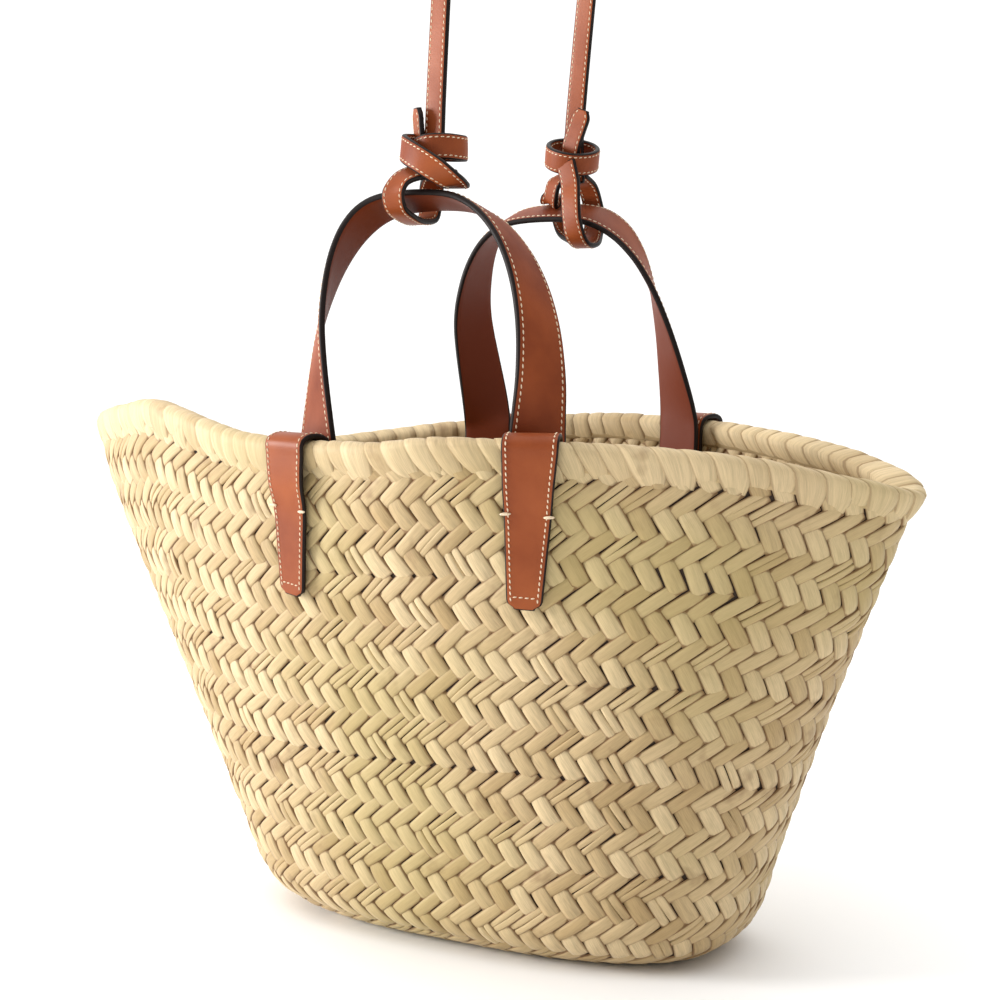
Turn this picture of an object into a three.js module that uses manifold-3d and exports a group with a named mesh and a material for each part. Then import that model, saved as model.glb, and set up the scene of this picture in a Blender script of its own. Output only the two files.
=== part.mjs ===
// A boat-shaped basket bag of plaited palm leaf, with two leather handles held to the rim by
// four folded tabs, and one shoulder strap knotted round the top of each handle.
// Units are millimetres. X runs along the basket, Y from its front to its back, +Z is up.
// The pieces are worked out with the basket's base at height zero, and the whole bag is then
// hung so that the origin is where the shoulder strap hangs.

import * as THREE from "three";
import { mergeVertices } from "three/addons/utils/BufferGeometryUtils.js";
import Module from "manifold-3d";

// Basket
const basketHeight = 218;
const baseHalfLength = 112.7;
const baseHalfDepth = 59;
const rimHalfDepth = 90;
const leftHalfLength = 222.3;
const rightHalfLength = 179.1;
const wall = 2.4;
const baseCornerRadius = 23;
const plaitPitch = 15.3; // height of one pair of plaited rows
const plaitRelief = 0.9; // how far a pair of rows swells out

// Fullness of the plan curve |x|^length + |y|^depth = 1, at the base and at each end of the rim
const baseFullness = { length: 2.67, depth: 2.67 };
const leftFullness = { length: 1.46, depth: 1.26 };
const rightFullness = { length: 1.41, depth: 1.62 };
const lengthFlare = { left: 1.07, right: 1.12 }; // above 1, the wall flares more near the rim
const depthFlare = 1.3;
const riseFlare = 1.3;
// The left end turns back in just below its rim, by leftEndTuck
const leftEndTuck = 12.3;
const tuckSharpness = 12;
// Wall at each end of the rim, where the two sides fold together
const leftTipWall = 8;
const rightTipWall = 4.5;
const tipSpread = 2.5; // how much more of any inner gap is left where the two sides meet

// Height of the rim round the basket, as a share of basketHeight.
// turn is in degrees from the right end, past the back, the left end and the front.
const rimRises = [
  { turn: 0, rise: -0.086 },
  { turn: 20, rise: -0.056 },
  { turn: 40, rise: -0.02 },
  { turn: 60, rise: 0.004 },
  { turn: 90, rise: 0.01 },
  { turn: 115, rise: -0.014 },
  { turn: 140, rise: -0.056 },
  { turn: 160, rise: 0.004 },
  { turn: 180, rise: -0.012 },
  { turn: 195, rise: 0.013 },
  { turn: 210, rise: 0.035 },
  { turn: 220, rise: 0.047 },
  { turn: 240, rise: -0.003 },
  { turn: 260, rise: -0.007 },
  { turn: 280, rise: 0.006 },
  { turn: 300, rise: 0.002 },
  { turn: 320, rise: -0.017 },
  { turn: 340, rise: -0.061 },
];

// Rolled border over the edge of the wall
const borderHeight = 10;
const borderLeg = 1.5;

// Leather
const handleWidth = 22;
const handleThickness = 2.6;
const handleSpacing = 107; // between the two legs of one handle
const handleInnerLength = 42; // below the rim, inside the basket
const legPlay = 0.8; // between a leg's turned edge and the tab beside it, on top of the clearance
// The legs of the two handles. fullness squares off the arch over the leg, bulge is how far the
// leg spreads on its way up, twist is how many degrees it has turned from the wall where it passes
// the rim, and a turning below 1 makes it turn sooner after that. slant is how far to the right
// its tab leans on the way down.
const legs = {
  frontLeft: { fullness: 3.84, bulge: 2.3, twist: 4.5, turning: 0.93, slant: -0.08 },
  frontRight: { fullness: 2.28, bulge: 1.8, twist: 15, turning: 0.56, slant: -0.09 },
  backLeft: { fullness: 4.5, bulge: 6.5, twist: 5, turning: 0.55, slant: 0.09 },
  backRight: { fullness: 2.32, bulge: -4, twist: 5, turning: 1, slant: -0.09 },
};
// The top of each arch: height over the rim, how far it leans in over the basket, how far to the
// right it stands, and by how many degrees the strip is tilted there, outer edge higher. middle
// is where the handle's own middle is along the basket.
const frontArch = { rise: 93.3, lean: 29.05, right: -4, tilt: 13.8, middle: -0.5 };
const backArch = { rise: 94, lean: 18.29, right: -2, tilt: 19, middle: 2.3 };
const tabTopWidth = 22;
const tabEndWidth = 14;
const tabOuterLength = 63;
const tabInnerLength = 34;
const tabThickness = 2.2;
const tabPuff = 1; // how far a tab stands off the border
const tabGap = 0.8; // between a tab's flat inner leg and the curved wall
const tabSewnDepth = 27; // below the rim, where it is sewn to the wall
const strapWidth = 9.8;
const strapThickness = 2.2;
const strapTopHeight = 720; // base of the basket to the top of the strap
const strapTopSpan = 70; // across the strap's arch at the top
const strapTopTurn = 60; // degrees from the basket's length to the arch's plane
const strapTopShift = 27; // of the strap's top to the right of the handles' middle
const clearance = 0.5;

// The two knots. Every row is a point of the middle of the strap, measured from the middle of the
// top of the handle's arch in knot units, and the direction across the strap there.
const knotUnit = 25;
const frontKnot = {
  // up to the shoulder
  run: [
    { right: 0.00, back: -0.04, up: 0.35, across: [-0.98, 0.21, 0] },
    { right: -0.04, back: 0.02, up: 0.67, across: [-0.98, 0.21, 0] },
    { right: -0.06, back: 0.05, up: 1.03, across: [-0.98, 0.21, 0] },
  ],
  // free end of the strap
  tail: [
    { right: -0.20, back: 0.04, up: 0.39, across: [0.72, -0.69, 0] },
    { right: -0.30, back: 0.04, up: 0.75, across: [0.72, -0.69, 0] },
    { right: -0.33, back: 0.02, up: 1.07, across: [0.72, -0.69, 0] },
    { right: -0.34, back: 0.00, up: 1.38, across: [0.72, -0.69, 0] },
  ],
  // round the run, then slanting down across the front and back up behind the handle
  wrap: [
    { right: -0.16, back: -0.32, up: 0.73, across: [0, 0, 1] },
    { right: 0.08, back: -0.40, up: 0.77, across: [0, 0, 1] },
    { right: 0.32, back: -0.26, up: 0.78, across: [0, 0, 1] },
    { right: 0.44, back: 0.04, up: 0.77, across: [0, 0, 1] },
    { right: 0.28, back: 0.36, up: 0.79, across: [0, 0, 1] },
    { right: -0.02, back: 0.44, up: 0.81, across: [0, 0, 1] },
    { right: -0.32, back: 0.32, up: 0.83, across: [0, 0, 1] },
    { right: -0.48, back: 0.00, up: 0.83, across: [0, 0, 1] },
    { right: -0.42, back: -0.30, up: 0.79, across: [0.1, 0, 1] },
    { right: -0.20, back: -0.53, up: 0.69, across: [0.35, 0, 0.9] },
    { right: 0.08, back: -0.62, up: 0.55, across: [0.6, 0, 0.8] },
    { right: 0.34, back: -0.58, up: 0.39, across: [0.75, 0, 0.6] },
    { right: 0.46, back: -0.41, up: 0.27, across: [0.85, -0.1, 0.35] },
    { right: 0.44, back: -0.16, up: 0.22, across: [0.95, 0.2, 0] },
    { right: 0.28, back: 0.12, up: 0.22, across: [0.9, 0.4, 0] },
    { right: 0.00, back: 0.28, up: 0.31, across: [0.8, 0.5, 0] },
  ],
  // round the handle
  loop: [
    { right: 0.24, back: -0.12, up: 0.43, across: [0.3, -0.7, -0.6] },
    { right: 0.00, back: -0.42, up: 0.41, across: [0.48, -0.6, -0.56] },
    { right: -0.28, back: -0.60, up: 0.29, across: [0.8, -0.3, -0.3] },
    { right: -0.40, back: -0.66, up: 0.07, across: [1, 0, 0] },
    { right: -0.43, back: -0.56, up: -0.13, across: [1, 0, 0] },
    { right: -0.46, back: -0.20, up: -0.26, across: [1, 0, 0] },
    { right: -0.50, back: 0.24, up: -0.31, across: [1, 0, 0] },
    { right: -0.51, back: 0.60, up: -0.24, across: [1, 0, 0] },
    { right: -0.49, back: 0.65, up: 0.01, across: [1, 0.1, 0] },
    { right: -0.36, back: 0.46, up: 0.25, across: [0.9, 0.3, 0] },
    { right: -0.12, back: 0.20, up: 0.39, across: [0.8, 0.5, 0] },
    { right: 0.16, back: 0.04, up: 0.43, across: [0.7, 0.7, 0] },
  ],
};
const backKnot = {
  // up to the shoulder
  run: [
    { right: 0.16, back: 0.02, up: 0.52, across: [-0.95, 0.1, 0] },
    { right: 0.10, back: 0.10, up: 0.96, across: [-0.95, 0.1, 0] },
    { right: 0.09, back: 0.12, up: 1.32, across: [-0.95, 0.1, 0] },
  ],
  // free end of the strap
  tail: [
    { right: 0.10, back: -0.02, up: 0.52, across: [0.97, -0.2, 0] },
    { right: 0.17, back: -0.18, up: 1.08, across: [0.97, -0.2, -0.3] },
    { right: 0.29, back: -0.20, up: 1.40, across: [0.93, -0.2, -0.35] },
    { right: 0.41, back: -0.19, up: 1.71, across: [0.93, -0.2, -0.35] },
  ],
  // down the front of the handle, under it and up its back
  loop: [
    { right: 0.22, back: -0.47, up: 0.80, across: [0.97, -0.2, 0] },
    { right: 0.32, back: -0.52, up: 0.48, across: [0.97, -0.2, 0] },
    { right: 0.38, back: -0.61, up: 0.16, across: [0.97, -0.2, 0] },
    { right: 0.42, back: -0.64, up: -0.16, across: [0.97, -0.2, 0] },
    { right: 0.46, back: -0.58, up: -0.44, across: [1, 0, 0] },
    { right: 0.48, back: -0.36, up: -0.58, across: [1, 0, 0] },
    { right: 0.46, back: 0.00, up: -0.56, across: [1, 0, 0] },
    { right: 0.34, back: 0.40, up: -0.40, across: [1, 0, 0] },
    { right: 0.28, back: 0.62, up: -0.08, across: [1, 0, 0] },
    { right: 0.22, back: 0.64, up: 0.20, across: [1, 0, 0] },
    { right: 0.20, back: 0.46, up: 0.48, across: [1, 0, 0] },
    { right: 0.16, back: 0.12, up: 0.64, across: [1, 0, 0] },
  ],
  // over the top of the handle to its back, then under it to the loop
  strand: [
    { right: 0.12, back: -0.08, up: 0.68, across: [0.9, -0.4, 0] },
    { right: -0.14, back: -0.20, up: 0.48, across: [0.85, -0.5, -0.1] },
    { right: -0.28, back: -0.06, up: 0.22, across: [0.75, -0.6, -0.2] },
    { right: -0.40, back: 0.24, up: 0.28, across: [0.95, -0.25, 0] },
    { right: -0.46, back: 0.56, up: 0.32, across: [1, 0, 0] },
    { right: -0.42, back: 0.67, up: 0.00, across: [1, 0.1, 0] },
    { right: -0.24, back: 0.56, up: -0.32, across: [0.8, 0.5, 0] },
    { right: 0.08, back: 0.28, up: -0.48, across: [0.65, 0.75, 0] },
    { right: 0.40, back: -0.04, up: -0.56, across: [0.7, 0.7, 0] },
  ],
};
// Ring round the back knot: middle in knot units, radius likewise, and its slopes.
const backRing = {
  right: 0.13,
  back: -0.04,
  up: 0.96,
  radius: 0.436,
  slopeRight: -0.24,
  slopeBack: 0.31,
};

// Smoothness
const wallSides = 66; // of the shell and of its border, which nest
const handleSteps = 56;

const mix = THREE.MathUtils.lerp;
const clamp = THREE.MathUtils.clamp;
const rad = THREE.MathUtils.degToRad;
const vec = (x, y, z) => new THREE.Vector3(x, y, z);

// Periodic smooth curve through the rows of rimRises.
function rimRise(turn) {
  const at = ((THREE.MathUtils.radToDeg(turn) % 360) + 360) % 360;
  const count = rimRises.length;
  let k = count - 1;
  while (rimRises[k].turn > at) k--;
  const row = (i) => {
    const wraps = Math.floor(i / count);
    const found = rimRises[i - wraps * count];
    return { turn: found.turn + 360 * wraps, rise: found.rise };
  };
  const [a, b, c, d] = [row(k - 1), row(k), row(k + 1), row(k + 2)];
  const span = c.turn - b.turn;
  const t = (at - b.turn) / span;
  const slopeB = ((c.rise - a.rise) / (c.turn - a.turn)) * span;
  const slopeC = ((d.rise - b.rise) / (d.turn - b.turn)) * span;
  const t2 = t * t;
  const t3 = t2 * t;
  return (
    (2 * t3 - 3 * t2 + 1) * b.rise +
    (t3 - 2 * t2 + t) * slopeB +
    (3 * t2 - 2 * t3) * c.rise +
    (t3 - t2) * slopeC
  );
}

// A point of the wall. level is 0 at the base and 1 at the rim, inset is measured inwards,
// and tipInset is the inset at the two ends.
function wallPoint(turn, level, inset = 0, tipInset = inset) {
  const c = Math.cos(turn);
  const s = Math.sin(turn);
  const left = c < 0;
  const full = left ? leftFullness : rightFullness;
  const length = mix(baseFullness.length, full.length, level);
  const depth = mix(baseFullness.depth, full.depth, level);
  const height = level * basketHeight;
  const below = Math.max(0, baseCornerRadius - height);
  const corner = baseCornerRadius - Math.sqrt(baseCornerRadius ** 2 - below ** 2);
  const tuck = left ? leftEndTuck : 0;
  const end = (left ? leftHalfLength : rightHalfLength) + tuck;
  const flared = mix(baseHalfLength, end, level ** (left ? lengthFlare.left : lengthFlare.right));
  const halfLength = flared - tuck * level ** tuckSharpness - corner - tipInset;
  const halfDepth = mix(baseHalfDepth, rimHalfDepth, level ** depthFlare) - corner - inset;
  return vec(
    Math.sign(c) * Math.abs(c) ** (2 / length) * halfLength,
    Math.sign(s) * Math.abs(s) ** (2 / depth) * halfDepth,
    height + rimRise(turn) * basketHeight * level ** riseFlare,
  );
}

// The inset at the tips grows from the plain wall at the base to the folded one at the rim.
function innerPoint(turn, level, extra = 0) {
  const tip = Math.cos(turn) < 0 ? leftTipWall : rightTipWall;
  return wallPoint(turn, level, wall + extra, mix(wall, tip, level) + extra * tipSpread);
}

// Turns that share the rim's length out evenly.
function evenTurns(count) {
  const fine = count * 20;
  const turns = [];
  const lengths = [0];
  let last = wallPoint(0, 1);
  for (let i = 1; i <= fine; i++) {
    const next = wallPoint((i / fine) * 2 * Math.PI, 1);
    lengths.push(lengths[i - 1] + next.distanceTo(last));
    last = next;
  }
  let i = 0;
  for (let k = 0; k < count; k++) {
    const target = (k / count) * lengths[fine];
    while (lengths[i + 1] < target) i++;
    const part = (target - lengths[i]) / (lengths[i + 1] - lengths[i]);
    turns.push(((i + part) / fine) * 2 * Math.PI);
  }
  return turns;
}

// A closed geometry from quads between rows of points. Each row is a closed loop; the rows
// close on themselves when ring is true, and are capped at both ends otherwise.
function loft(rows, ring = false) {
  const sides = rows[0].length;
  const points = rows.flat();
  const faces = [];
  const last = ring ? rows.length : rows.length - 1;
  for (let r = 0; r < last; r++) {
    const a = r * sides;
    const b = ((r + 1) % rows.length) * sides;
    for (let k = 0; k < sides; k++) {
      const n = (k + 1) % sides;
      faces.push(a + k, a + n, b + n, a + k, b + n, b + k);
    }
  }
  if (!ring) {
    const middle = (row) => row.reduce((sum, p) => sum.add(p), vec(0, 0, 0)).divideScalar(sides);
    const low = points.push(middle(rows[0])) - 1;
    const high = points.push(middle(rows[rows.length - 1])) - 1;
    const top = (rows.length - 1) * sides;
    for (let k = 0; k < sides; k++) {
      const n = (k + 1) % sides;
      faces.push(low, n, k, high, top + k, top + n);
    }
  }
  const geometry = new THREE.BufferGeometry().setFromPoints(points);
  geometry.setIndex(faces);
  geometry.computeVertexNormals();
  return geometry;
}

// Basket wall and base in one hollow shell, its outside swelling at each pair of rows.
function basketShell() {
  const turns = evenTurns(wallSides);
  const top = 1 - (borderLeg + clearance) / basketHeight;
  const rows = [];
  const cornerSteps = 4;
  for (let i = 0; i < cornerSteps; i++) {
    const height = baseCornerRadius * (1 - Math.cos((i / cornerSteps) * (Math.PI / 2)));
    rows.push(turns.map((t) => wallPoint(t, height / basketHeight)));
  }
  const pairs = Math.round((basketHeight - baseCornerRadius - borderHeight) / plaitPitch);
  const from = baseCornerRadius / basketHeight;
  const to = 1 - borderHeight / basketHeight;
  for (let i = 0; i <= pairs * 2; i++) {
    const level = mix(from, to, i / (pairs * 2));
    rows.push(turns.map((t) => wallPoint(t, level, i % 2 ? -plaitRelief : 0)));
  }
  rows.push(turns.map((t) => wallPoint(t, top)));
  rows.push(turns.map((t) => innerPoint(t, top)));
  const innerSteps = 9;
  for (let i = 1; i <= innerSteps; i++) {
    const level = mix(top, from, (i / innerSteps) ** 1.5); // closer together near the rim
    rows.push(turns.map((t) => innerPoint(t, level)));
  }
  for (let i = cornerSteps - 1; i >= 0; i--) {
    const height = baseCornerRadius * (1 - Math.cos((i / cornerSteps) * (Math.PI / 2)));
    rows.push(
      turns.map((t) => {
        const p = innerPoint(t, height / basketHeight);
        p.z = Math.max(p.z, mix(wall, p.z, height / baseCornerRadius));
        return p;
      }),
    );
  }
  return loft(rows);
}

// The outward direction of the wall at a point of the rim, in plan.
function rimNormal(turn) {
  const step = 0.02;
  const along = wallPoint(turn + step, 1).sub(wallPoint(turn - step, 1));
  return vec(along.y, -along.x, 0).normalize();
}

// A channel over the edge of the wall, round the whole rim.
function rimBorder() {
  const reach = borderLeg + clearance;
  const low = 1 - borderHeight / basketHeight;
  const shoulder = 1 - (borderLeg * 0.6) / basketHeight;
  const seat = 1 - borderLeg / basketHeight;
  const rows = evenTurns(wallSides).map((t) => {
    const tip = Math.cos(t) < 0 ? leftTipWall : rightTipWall;
    const outer = (level, out) => wallPoint(t, level, -out);
    const inner = (level, extra) => innerPoint(t, level, extra);
    const lean = Math.min(tip, wall) * 0.2;
    return [
      outer(seat, clearance),
      inner(seat, clearance),
      inner(low, clearance),
      inner(low, reach),
      inner(shoulder, reach),
      inner(1, -lean),
      outer(1, lean),
      outer(shoulder, reach + plaitRelief),
      outer(low, reach + plaitRelief),
      outer(low, plaitRelief + clearance),
    ];
  });
  return loft(rows, true);
}

// A flat strip along a list of stations {at, across, width}, with its thickness square to both
// the way it runs and the way across it.
function stripRows(stations, thickness) {
  const count = stations.length;
  return stations.map((station, i) => {
    const before = stations[Math.max(i - 1, 0)].at;
    const after = stations[Math.min(i + 1, count - 1)].at;
    const run = after.clone().sub(before).normalize();
    const across = station.across.clone().addScaledVector(run, -station.across.dot(run)).normalize();
    const out = run.clone().cross(across).normalize();
    const half = station.width / 2;
    const corner = (w, o) =>
      station.at
        .clone()
        .addScaledVector(across, w * half)
        .addScaledVector(out, (o * thickness) / 2);
    return [corner(-1, -1), corner(1, -1), corner(1, 1), corner(-1, 1)];
  });
}
const strip = (stations, thickness) => loft(stripRows(stations, thickness));

// The turn at which the wall crosses a distance along the basket, on the front or the back.
function turnAt(x, back, level = 1) {
  let low = 0;
  let high = Math.PI;
  for (let i = 0; i < 40; i++) {
    const middle = (low + high) / 2;
    if (wallPoint(middle, level).x > x) low = middle;
    else high = middle;
  }
  return back ? low : 2 * Math.PI - low;
}

// Which leg of which handle it is: side is -1 for the left one and 1 for the right one.
function legOf(side, back) {
  if (back) return side < 0 ? legs.backLeft : legs.backRight;
  return side < 0 ? legs.frontLeft : legs.frontRight;
}

// Where a handle's leg meets the rim: its turn, outward normal and the way along the rim.
function legSeat(side, back) {
  const x = (back ? backArch : frontArch).middle + (side * handleSpacing) / 2;
  const turn = turnAt(x, back);
  const out = rimNormal(turn);
  return { x, turn, out, along: vec(-out.y, out.x, 0), rim: wallPoint(turn, 1) };
}

// A point beside the wall for the middle of a strip that lies flat along it. drop is measured
// down from the rim and stand from the wall, which bends away from the strip: so the nearest
// part of the wall within the strip's width is what counts.
function besideWall(seat, x, back, drop, stand, width, inside) {
  const level = 1 - drop / basketHeight;
  const found = [-0.5, -0.25, 0, 0.25, 0.5].map((part) => {
    const turn = turnAt(x + part * width, back, level);
    return inside ? innerPoint(turn, level) : wallPoint(turn, level);
  });
  const reaches = found.map((p) => p.dot(seat.out));
  const reach = inside ? Math.min(...reaches) - stand : Math.max(...reaches) + stand;
  return found[2].addScaledVector(seat.out, reach - reaches[2]);
}

// A folded tab in the upright plane square to the wall: up the outside from its tapered end,
// over the border, and down the inside.
function tab(side, back) {
  const seat = legSeat(side, back);
  const half = tabThickness / 2;
  const outsideStand = plaitRelief + clearance + half;
  const borderStand = borderLeg + 2 * clearance + plaitRelief + half;
  const onWall = (drop, stand, inside) => {
    const x = seat.x + legOf(side, back).slant * Math.max(drop, 0);
    return besideWall(seat, x, back, drop, stand, tabTopWidth, inside);
  };
  const crown = half + 3 * clearance;
  const points = [
    onWall(tabOuterLength, outsideStand, false),
    onWall(mix(tabSewnDepth, tabOuterLength, 0.5), outsideStand, false),
    onWall(tabSewnDepth, outsideStand + 0.4, false),
    onWall(mix(borderHeight, tabSewnDepth, 0.4), borderStand + tabPuff * 0.45, false),
    onWall(borderHeight * 0.55, borderStand + tabPuff, false),
    onWall(-crown * 0.3, borderStand + tabPuff * 0.72, false),
    onWall(-crown - tabPuff * 0.25, (borderStand + tabPuff) * 0.2, false),
    onWall(-crown * 0.4, borderStand - plaitRelief + tabGap / 2, true),
    onWall(borderHeight, borderStand - plaitRelief + tabGap / 2, true),
    onWall(mix(borderHeight, tabInnerLength, 0.45), half + tabGap, true),
    onWall(tabInnerLength, half + tabGap, true),
  ];
  const curve = new THREE.CatmullRomCurve3(points, false, "centripetal");
  const steps = 34;
  const taper = tabOuterLength / curve.getLength();
  const stations = [];
  for (let i = 0; i <= steps; i++) {
    const share = i / steps;
    const width = mix(tabEndWidth, tabTopWidth, clamp(share / taper, 0, 1));
    stations.push({ at: curve.getPointAt(share), across: seat.along, width });
  }
  return strip(stations, tabThickness);
}

// How far inside the rim point the middle of a handle's leg runs.
const legInset =
  wall + borderLeg + 3 * clearance + tabGap / 2 + tabThickness + handleThickness / 2;

// The middle of the top of a handle's arch.
function archTop(back) {
  const arch = back ? backArch : frontArch;
  const rim = legSeat(-1, back).rim.add(legSeat(1, back).rim).multiplyScalar(0.5);
  const way = back ? 1 : -1;
  return vec(arch.right, rim.y - way * arch.lean, rim.z + arch.rise);
}

// A handle: up from inside the basket, over the arch and down again, each leg turning from
// flat on the wall to facing along the basket.
function handle(back) {
  const arch = back ? backArch : frontArch;
  const way = back ? 1 : -1;
  const top = archTop(back);
  const legPoint = (seat, leg, drop) => {
    const lift = (handleWidth / 2) * Math.sin(rad(leg.twist)) + legPlay;
    const stand = legInset - wall + lift * (1 - drop / handleInnerLength);
    return besideWall(seat, seat.x, back, drop, stand, handleWidth, true);
  };
  const side = (sign) => {
    const seat = legSeat(sign, back);
    const leg = legOf(sign, back);
    const points = [1, 0.5, 0].map((drop) => legPoint(seat, leg, drop * handleInnerLength));
    const foot = points[2];
    const steps = 7;
    for (let i = 1; i < steps; i++) {
      const angle = (i / steps) * (Math.PI / 2);
      const up = Math.sin(angle) ** (2 / leg.fullness);
      const inward = 1 - Math.cos(angle) ** (2 / leg.fullness);
      const spread = sign * leg.bulge * Math.sin(Math.PI * up);
      const x = mix(foot.x, top.x, inward) + spread;
      points.push(vec(x, mix(foot.y, top.y, up ** 1.5), mix(foot.z, top.z, up)));
    }
    return { seat, leg, foot, points };
  };
  const left = side(-1);
  const right = side(1);
  const curve = new THREE.CatmullRomCurve3(
    [...left.points, top, ...right.points.reverse()],
    false,
    "centripetal",
  );
  const outerEdge = vec(0, way * Math.cos(rad(arch.tilt)), Math.sin(rad(arch.tilt)));
  outerEdge.multiplyScalar(way); // towards the back on both handles
  const stations = [];
  for (let i = 0; i <= handleSteps; i++) {
    const at = curve.getPointAt(i / handleSteps);
    const half = i < handleSteps / 2 ? left : right;
    const sign = half === left ? -1 : 1;
    const above = at.z - half.foot.z;
    const turned = rad(
      above < 0
        ? half.leg.twist * clamp(1 + above / handleInnerLength, 0, 1)
        : mix(half.leg.twist, 90, clamp(above / arch.rise, 0, 1) ** half.leg.turning),
    );
    const across = half.seat.along
      .clone()
      .multiplyScalar(sign * Math.cos(turned))
      .addScaledVector(outerEdge, Math.sin(turned));
    stations.push({ at, across, width: handleWidth });
  }
  return strip(stations, handleThickness);
}

// Shoulder strap: each piece of it is a strip, and all of them join into one body.
async function shoulderStrap() {
  const wasm = await Module();
  wasm.setup();
  const tops = { front: archTop(false), back: archTop(true) };
  const place = (top, row) => ({
    at: vec(row.right, row.back, row.up).multiplyScalar(knotUnit).add(top),
    across: vec(...row.across).normalize(),
  });
  const smooth = (rows, steps, taperEnd = false) => {
    const curve = new THREE.CatmullRomCurve3(rows.map((row) => row.at), false, "centripetal");
    const spans = rows.length - 1;
    const stations = [];
    for (let i = 0; i <= steps; i++) {
      const along = (i / steps) * spans;
      const k = Math.min(Math.floor(along), spans - 1);
      const across = rows[k].across.clone().lerp(rows[k + 1].across, along - k);
      stations.push({ at: curve.getPoint(i / steps), across, width: strapWidth });
    }
    if (taperEnd) stations[steps].width = strapWidth * 0.62;
    return stations;
  };
  const pieces = [];
  const add = (stations) => pieces.push(strip(stations, strapThickness));
  for (const [knot, top] of [
    [frontKnot, tops.front],
    [backKnot, tops.back],
  ]) {
    for (const [name, rows] of Object.entries(knot)) {
      if (name === "run") continue;
      const placed = rows.map((row) => place(top, row));
      add(smooth(placed, (placed.length - 1) * 3, name === "tail"));
    }
  }
  // ring of the back knot
  const middle = vec(backRing.right, backRing.back, backRing.up).multiplyScalar(knotUnit);
  middle.add(tops.back);
  const ringRows = [];
  const up = vec(-backRing.slopeRight, -backRing.slopeBack, 1).normalize();
  const around = 28;
  for (let i = 0; i < around; i++) {
    const turn = (i / around) * 2 * Math.PI;
    const x = Math.cos(turn) * backRing.radius * knotUnit;
    const y = Math.sin(turn) * backRing.radius * knotUnit;
    const at = vec(x, y, x * backRing.slopeRight + y * backRing.slopeBack).add(middle);
    const out = vec(Math.cos(turn), Math.sin(turn), 0);
    out.addScaledVector(up, -out.dot(up)).normalize();
    const corner = (o, w) =>
      at
        .clone()
        .addScaledVector(out, (o * strapThickness) / 2)
        .addScaledVector(up, (w * strapWidth) / 2);
    ringRows.push([corner(1, -1), corner(-1, -1), corner(-1, 1), corner(1, 1)]);
  }
  pieces.push(loft(ringRows, true));
  // the long run, up from the front knot, over the top and down to the back knot
  const front = frontKnot.run.map((row) => place(tops.front, row));
  const back = backKnot.run.map((row) => place(tops.back, row)).reverse();
  const hang = strapTop();
  const along = vec(Math.cos(rad(strapTopTurn)), Math.sin(rad(strapTopTurn)), 0);
  const across = vec(-along.y, along.x, 0);
  const radius = strapTopSpan / 2;
  const crown = [];
  const steps = 6;
  for (let i = 0; i <= steps; i++) {
    const turn = Math.PI * (1 - i / steps);
    const at = hang
      .clone()
      .addScaledVector(along, Math.cos(turn) * radius)
      .add(vec(0, 0, (Math.sin(turn) - 1) * radius - strapThickness / 2));
    crown.push({ at, across });
  }
  add(smooth([...front, ...crown, ...back], (front.length + crown.length + back.length - 1) * 5));
  let body = null;
  for (const piece of pieces) {
    const next = new wasm.Manifold(toMesh(wasm, piece));
    body = body ? body.add(next) : next;
  }
  // only the outside of the body, without the small voids closed in by the knots
  const outside = body.decompose().reduce((a, b) => (a.volume() > b.volume() ? a : b));
  return fromMesh(outside.getMesh());
}

// The highest point of the strap, where the bag hangs.
function strapTop() {
  const front = archTop(false);
  const back = archTop(true);
  return vec(strapTopShift, mix(front.y, back.y, 0.5), strapTopHeight);
}

function toMesh(wasm, geometry) {
  const plain = geometry.clone();
  plain.deleteAttribute("normal");
  plain.deleteAttribute("uv");
  const merged = mergeVertices(plain, 1e-4);
  return new wasm.Mesh({
    numProp: 3,
    vertProperties: new Float32Array(merged.attributes.position.array),
    triVerts: new Uint32Array(merged.index.array),
  });
}

function fromMesh(mesh) {
  const geometry = new THREE.BufferGeometry();
  geometry.setAttribute("position", new THREE.BufferAttribute(mesh.vertProperties, 3));
  geometry.setIndex(new THREE.BufferAttribute(mesh.triVerts, 1));
  geometry.computeVertexNormals();
  return geometry;
}

const finish = (color, roughness) =>
  new THREE.MeshStandardMaterial({ color, roughness, metalness: 0 });
const straw = () => finish(0xe2cda8, 0.72);
const rimStraw = () => finish(0xe8d3ae, 0.68);
const leather = () => finish(0x9c4f2c, 0.42);

function piece(name, geometry, material) {
  const mesh = new THREE.Mesh(geometry, material);
  mesh.name = name;
  return mesh;
}

function group(name, ...children) {
  const made = new THREE.Group();
  made.name = name;
  made.add(...children);
  return made;
}

const strapBody = await shoulderStrap();
const hung = group(
  "hung_bag",
  group(
    "basket",
    piece("basket_shell", basketShell(), straw()),
    piece("rim_border", rimBorder(), rimStraw()),
  ),
  group(
    "handles",
    piece("front_handle", handle(false), leather()),
    piece("back_handle", handle(true), leather()),
    piece("front_left_tab", tab(-1, false), leather()),
    piece("front_right_tab", tab(1, false), leather()),
    piece("back_left_tab", tab(-1, true), leather()),
    piece("back_right_tab", tab(1, true), leather()),
  ),
  piece("shoulder_strap", strapBody, leather()),
);
hung.position.copy(strapTop().negate());

export default group("basket_bag", hung);
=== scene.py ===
import math
import random

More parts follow.
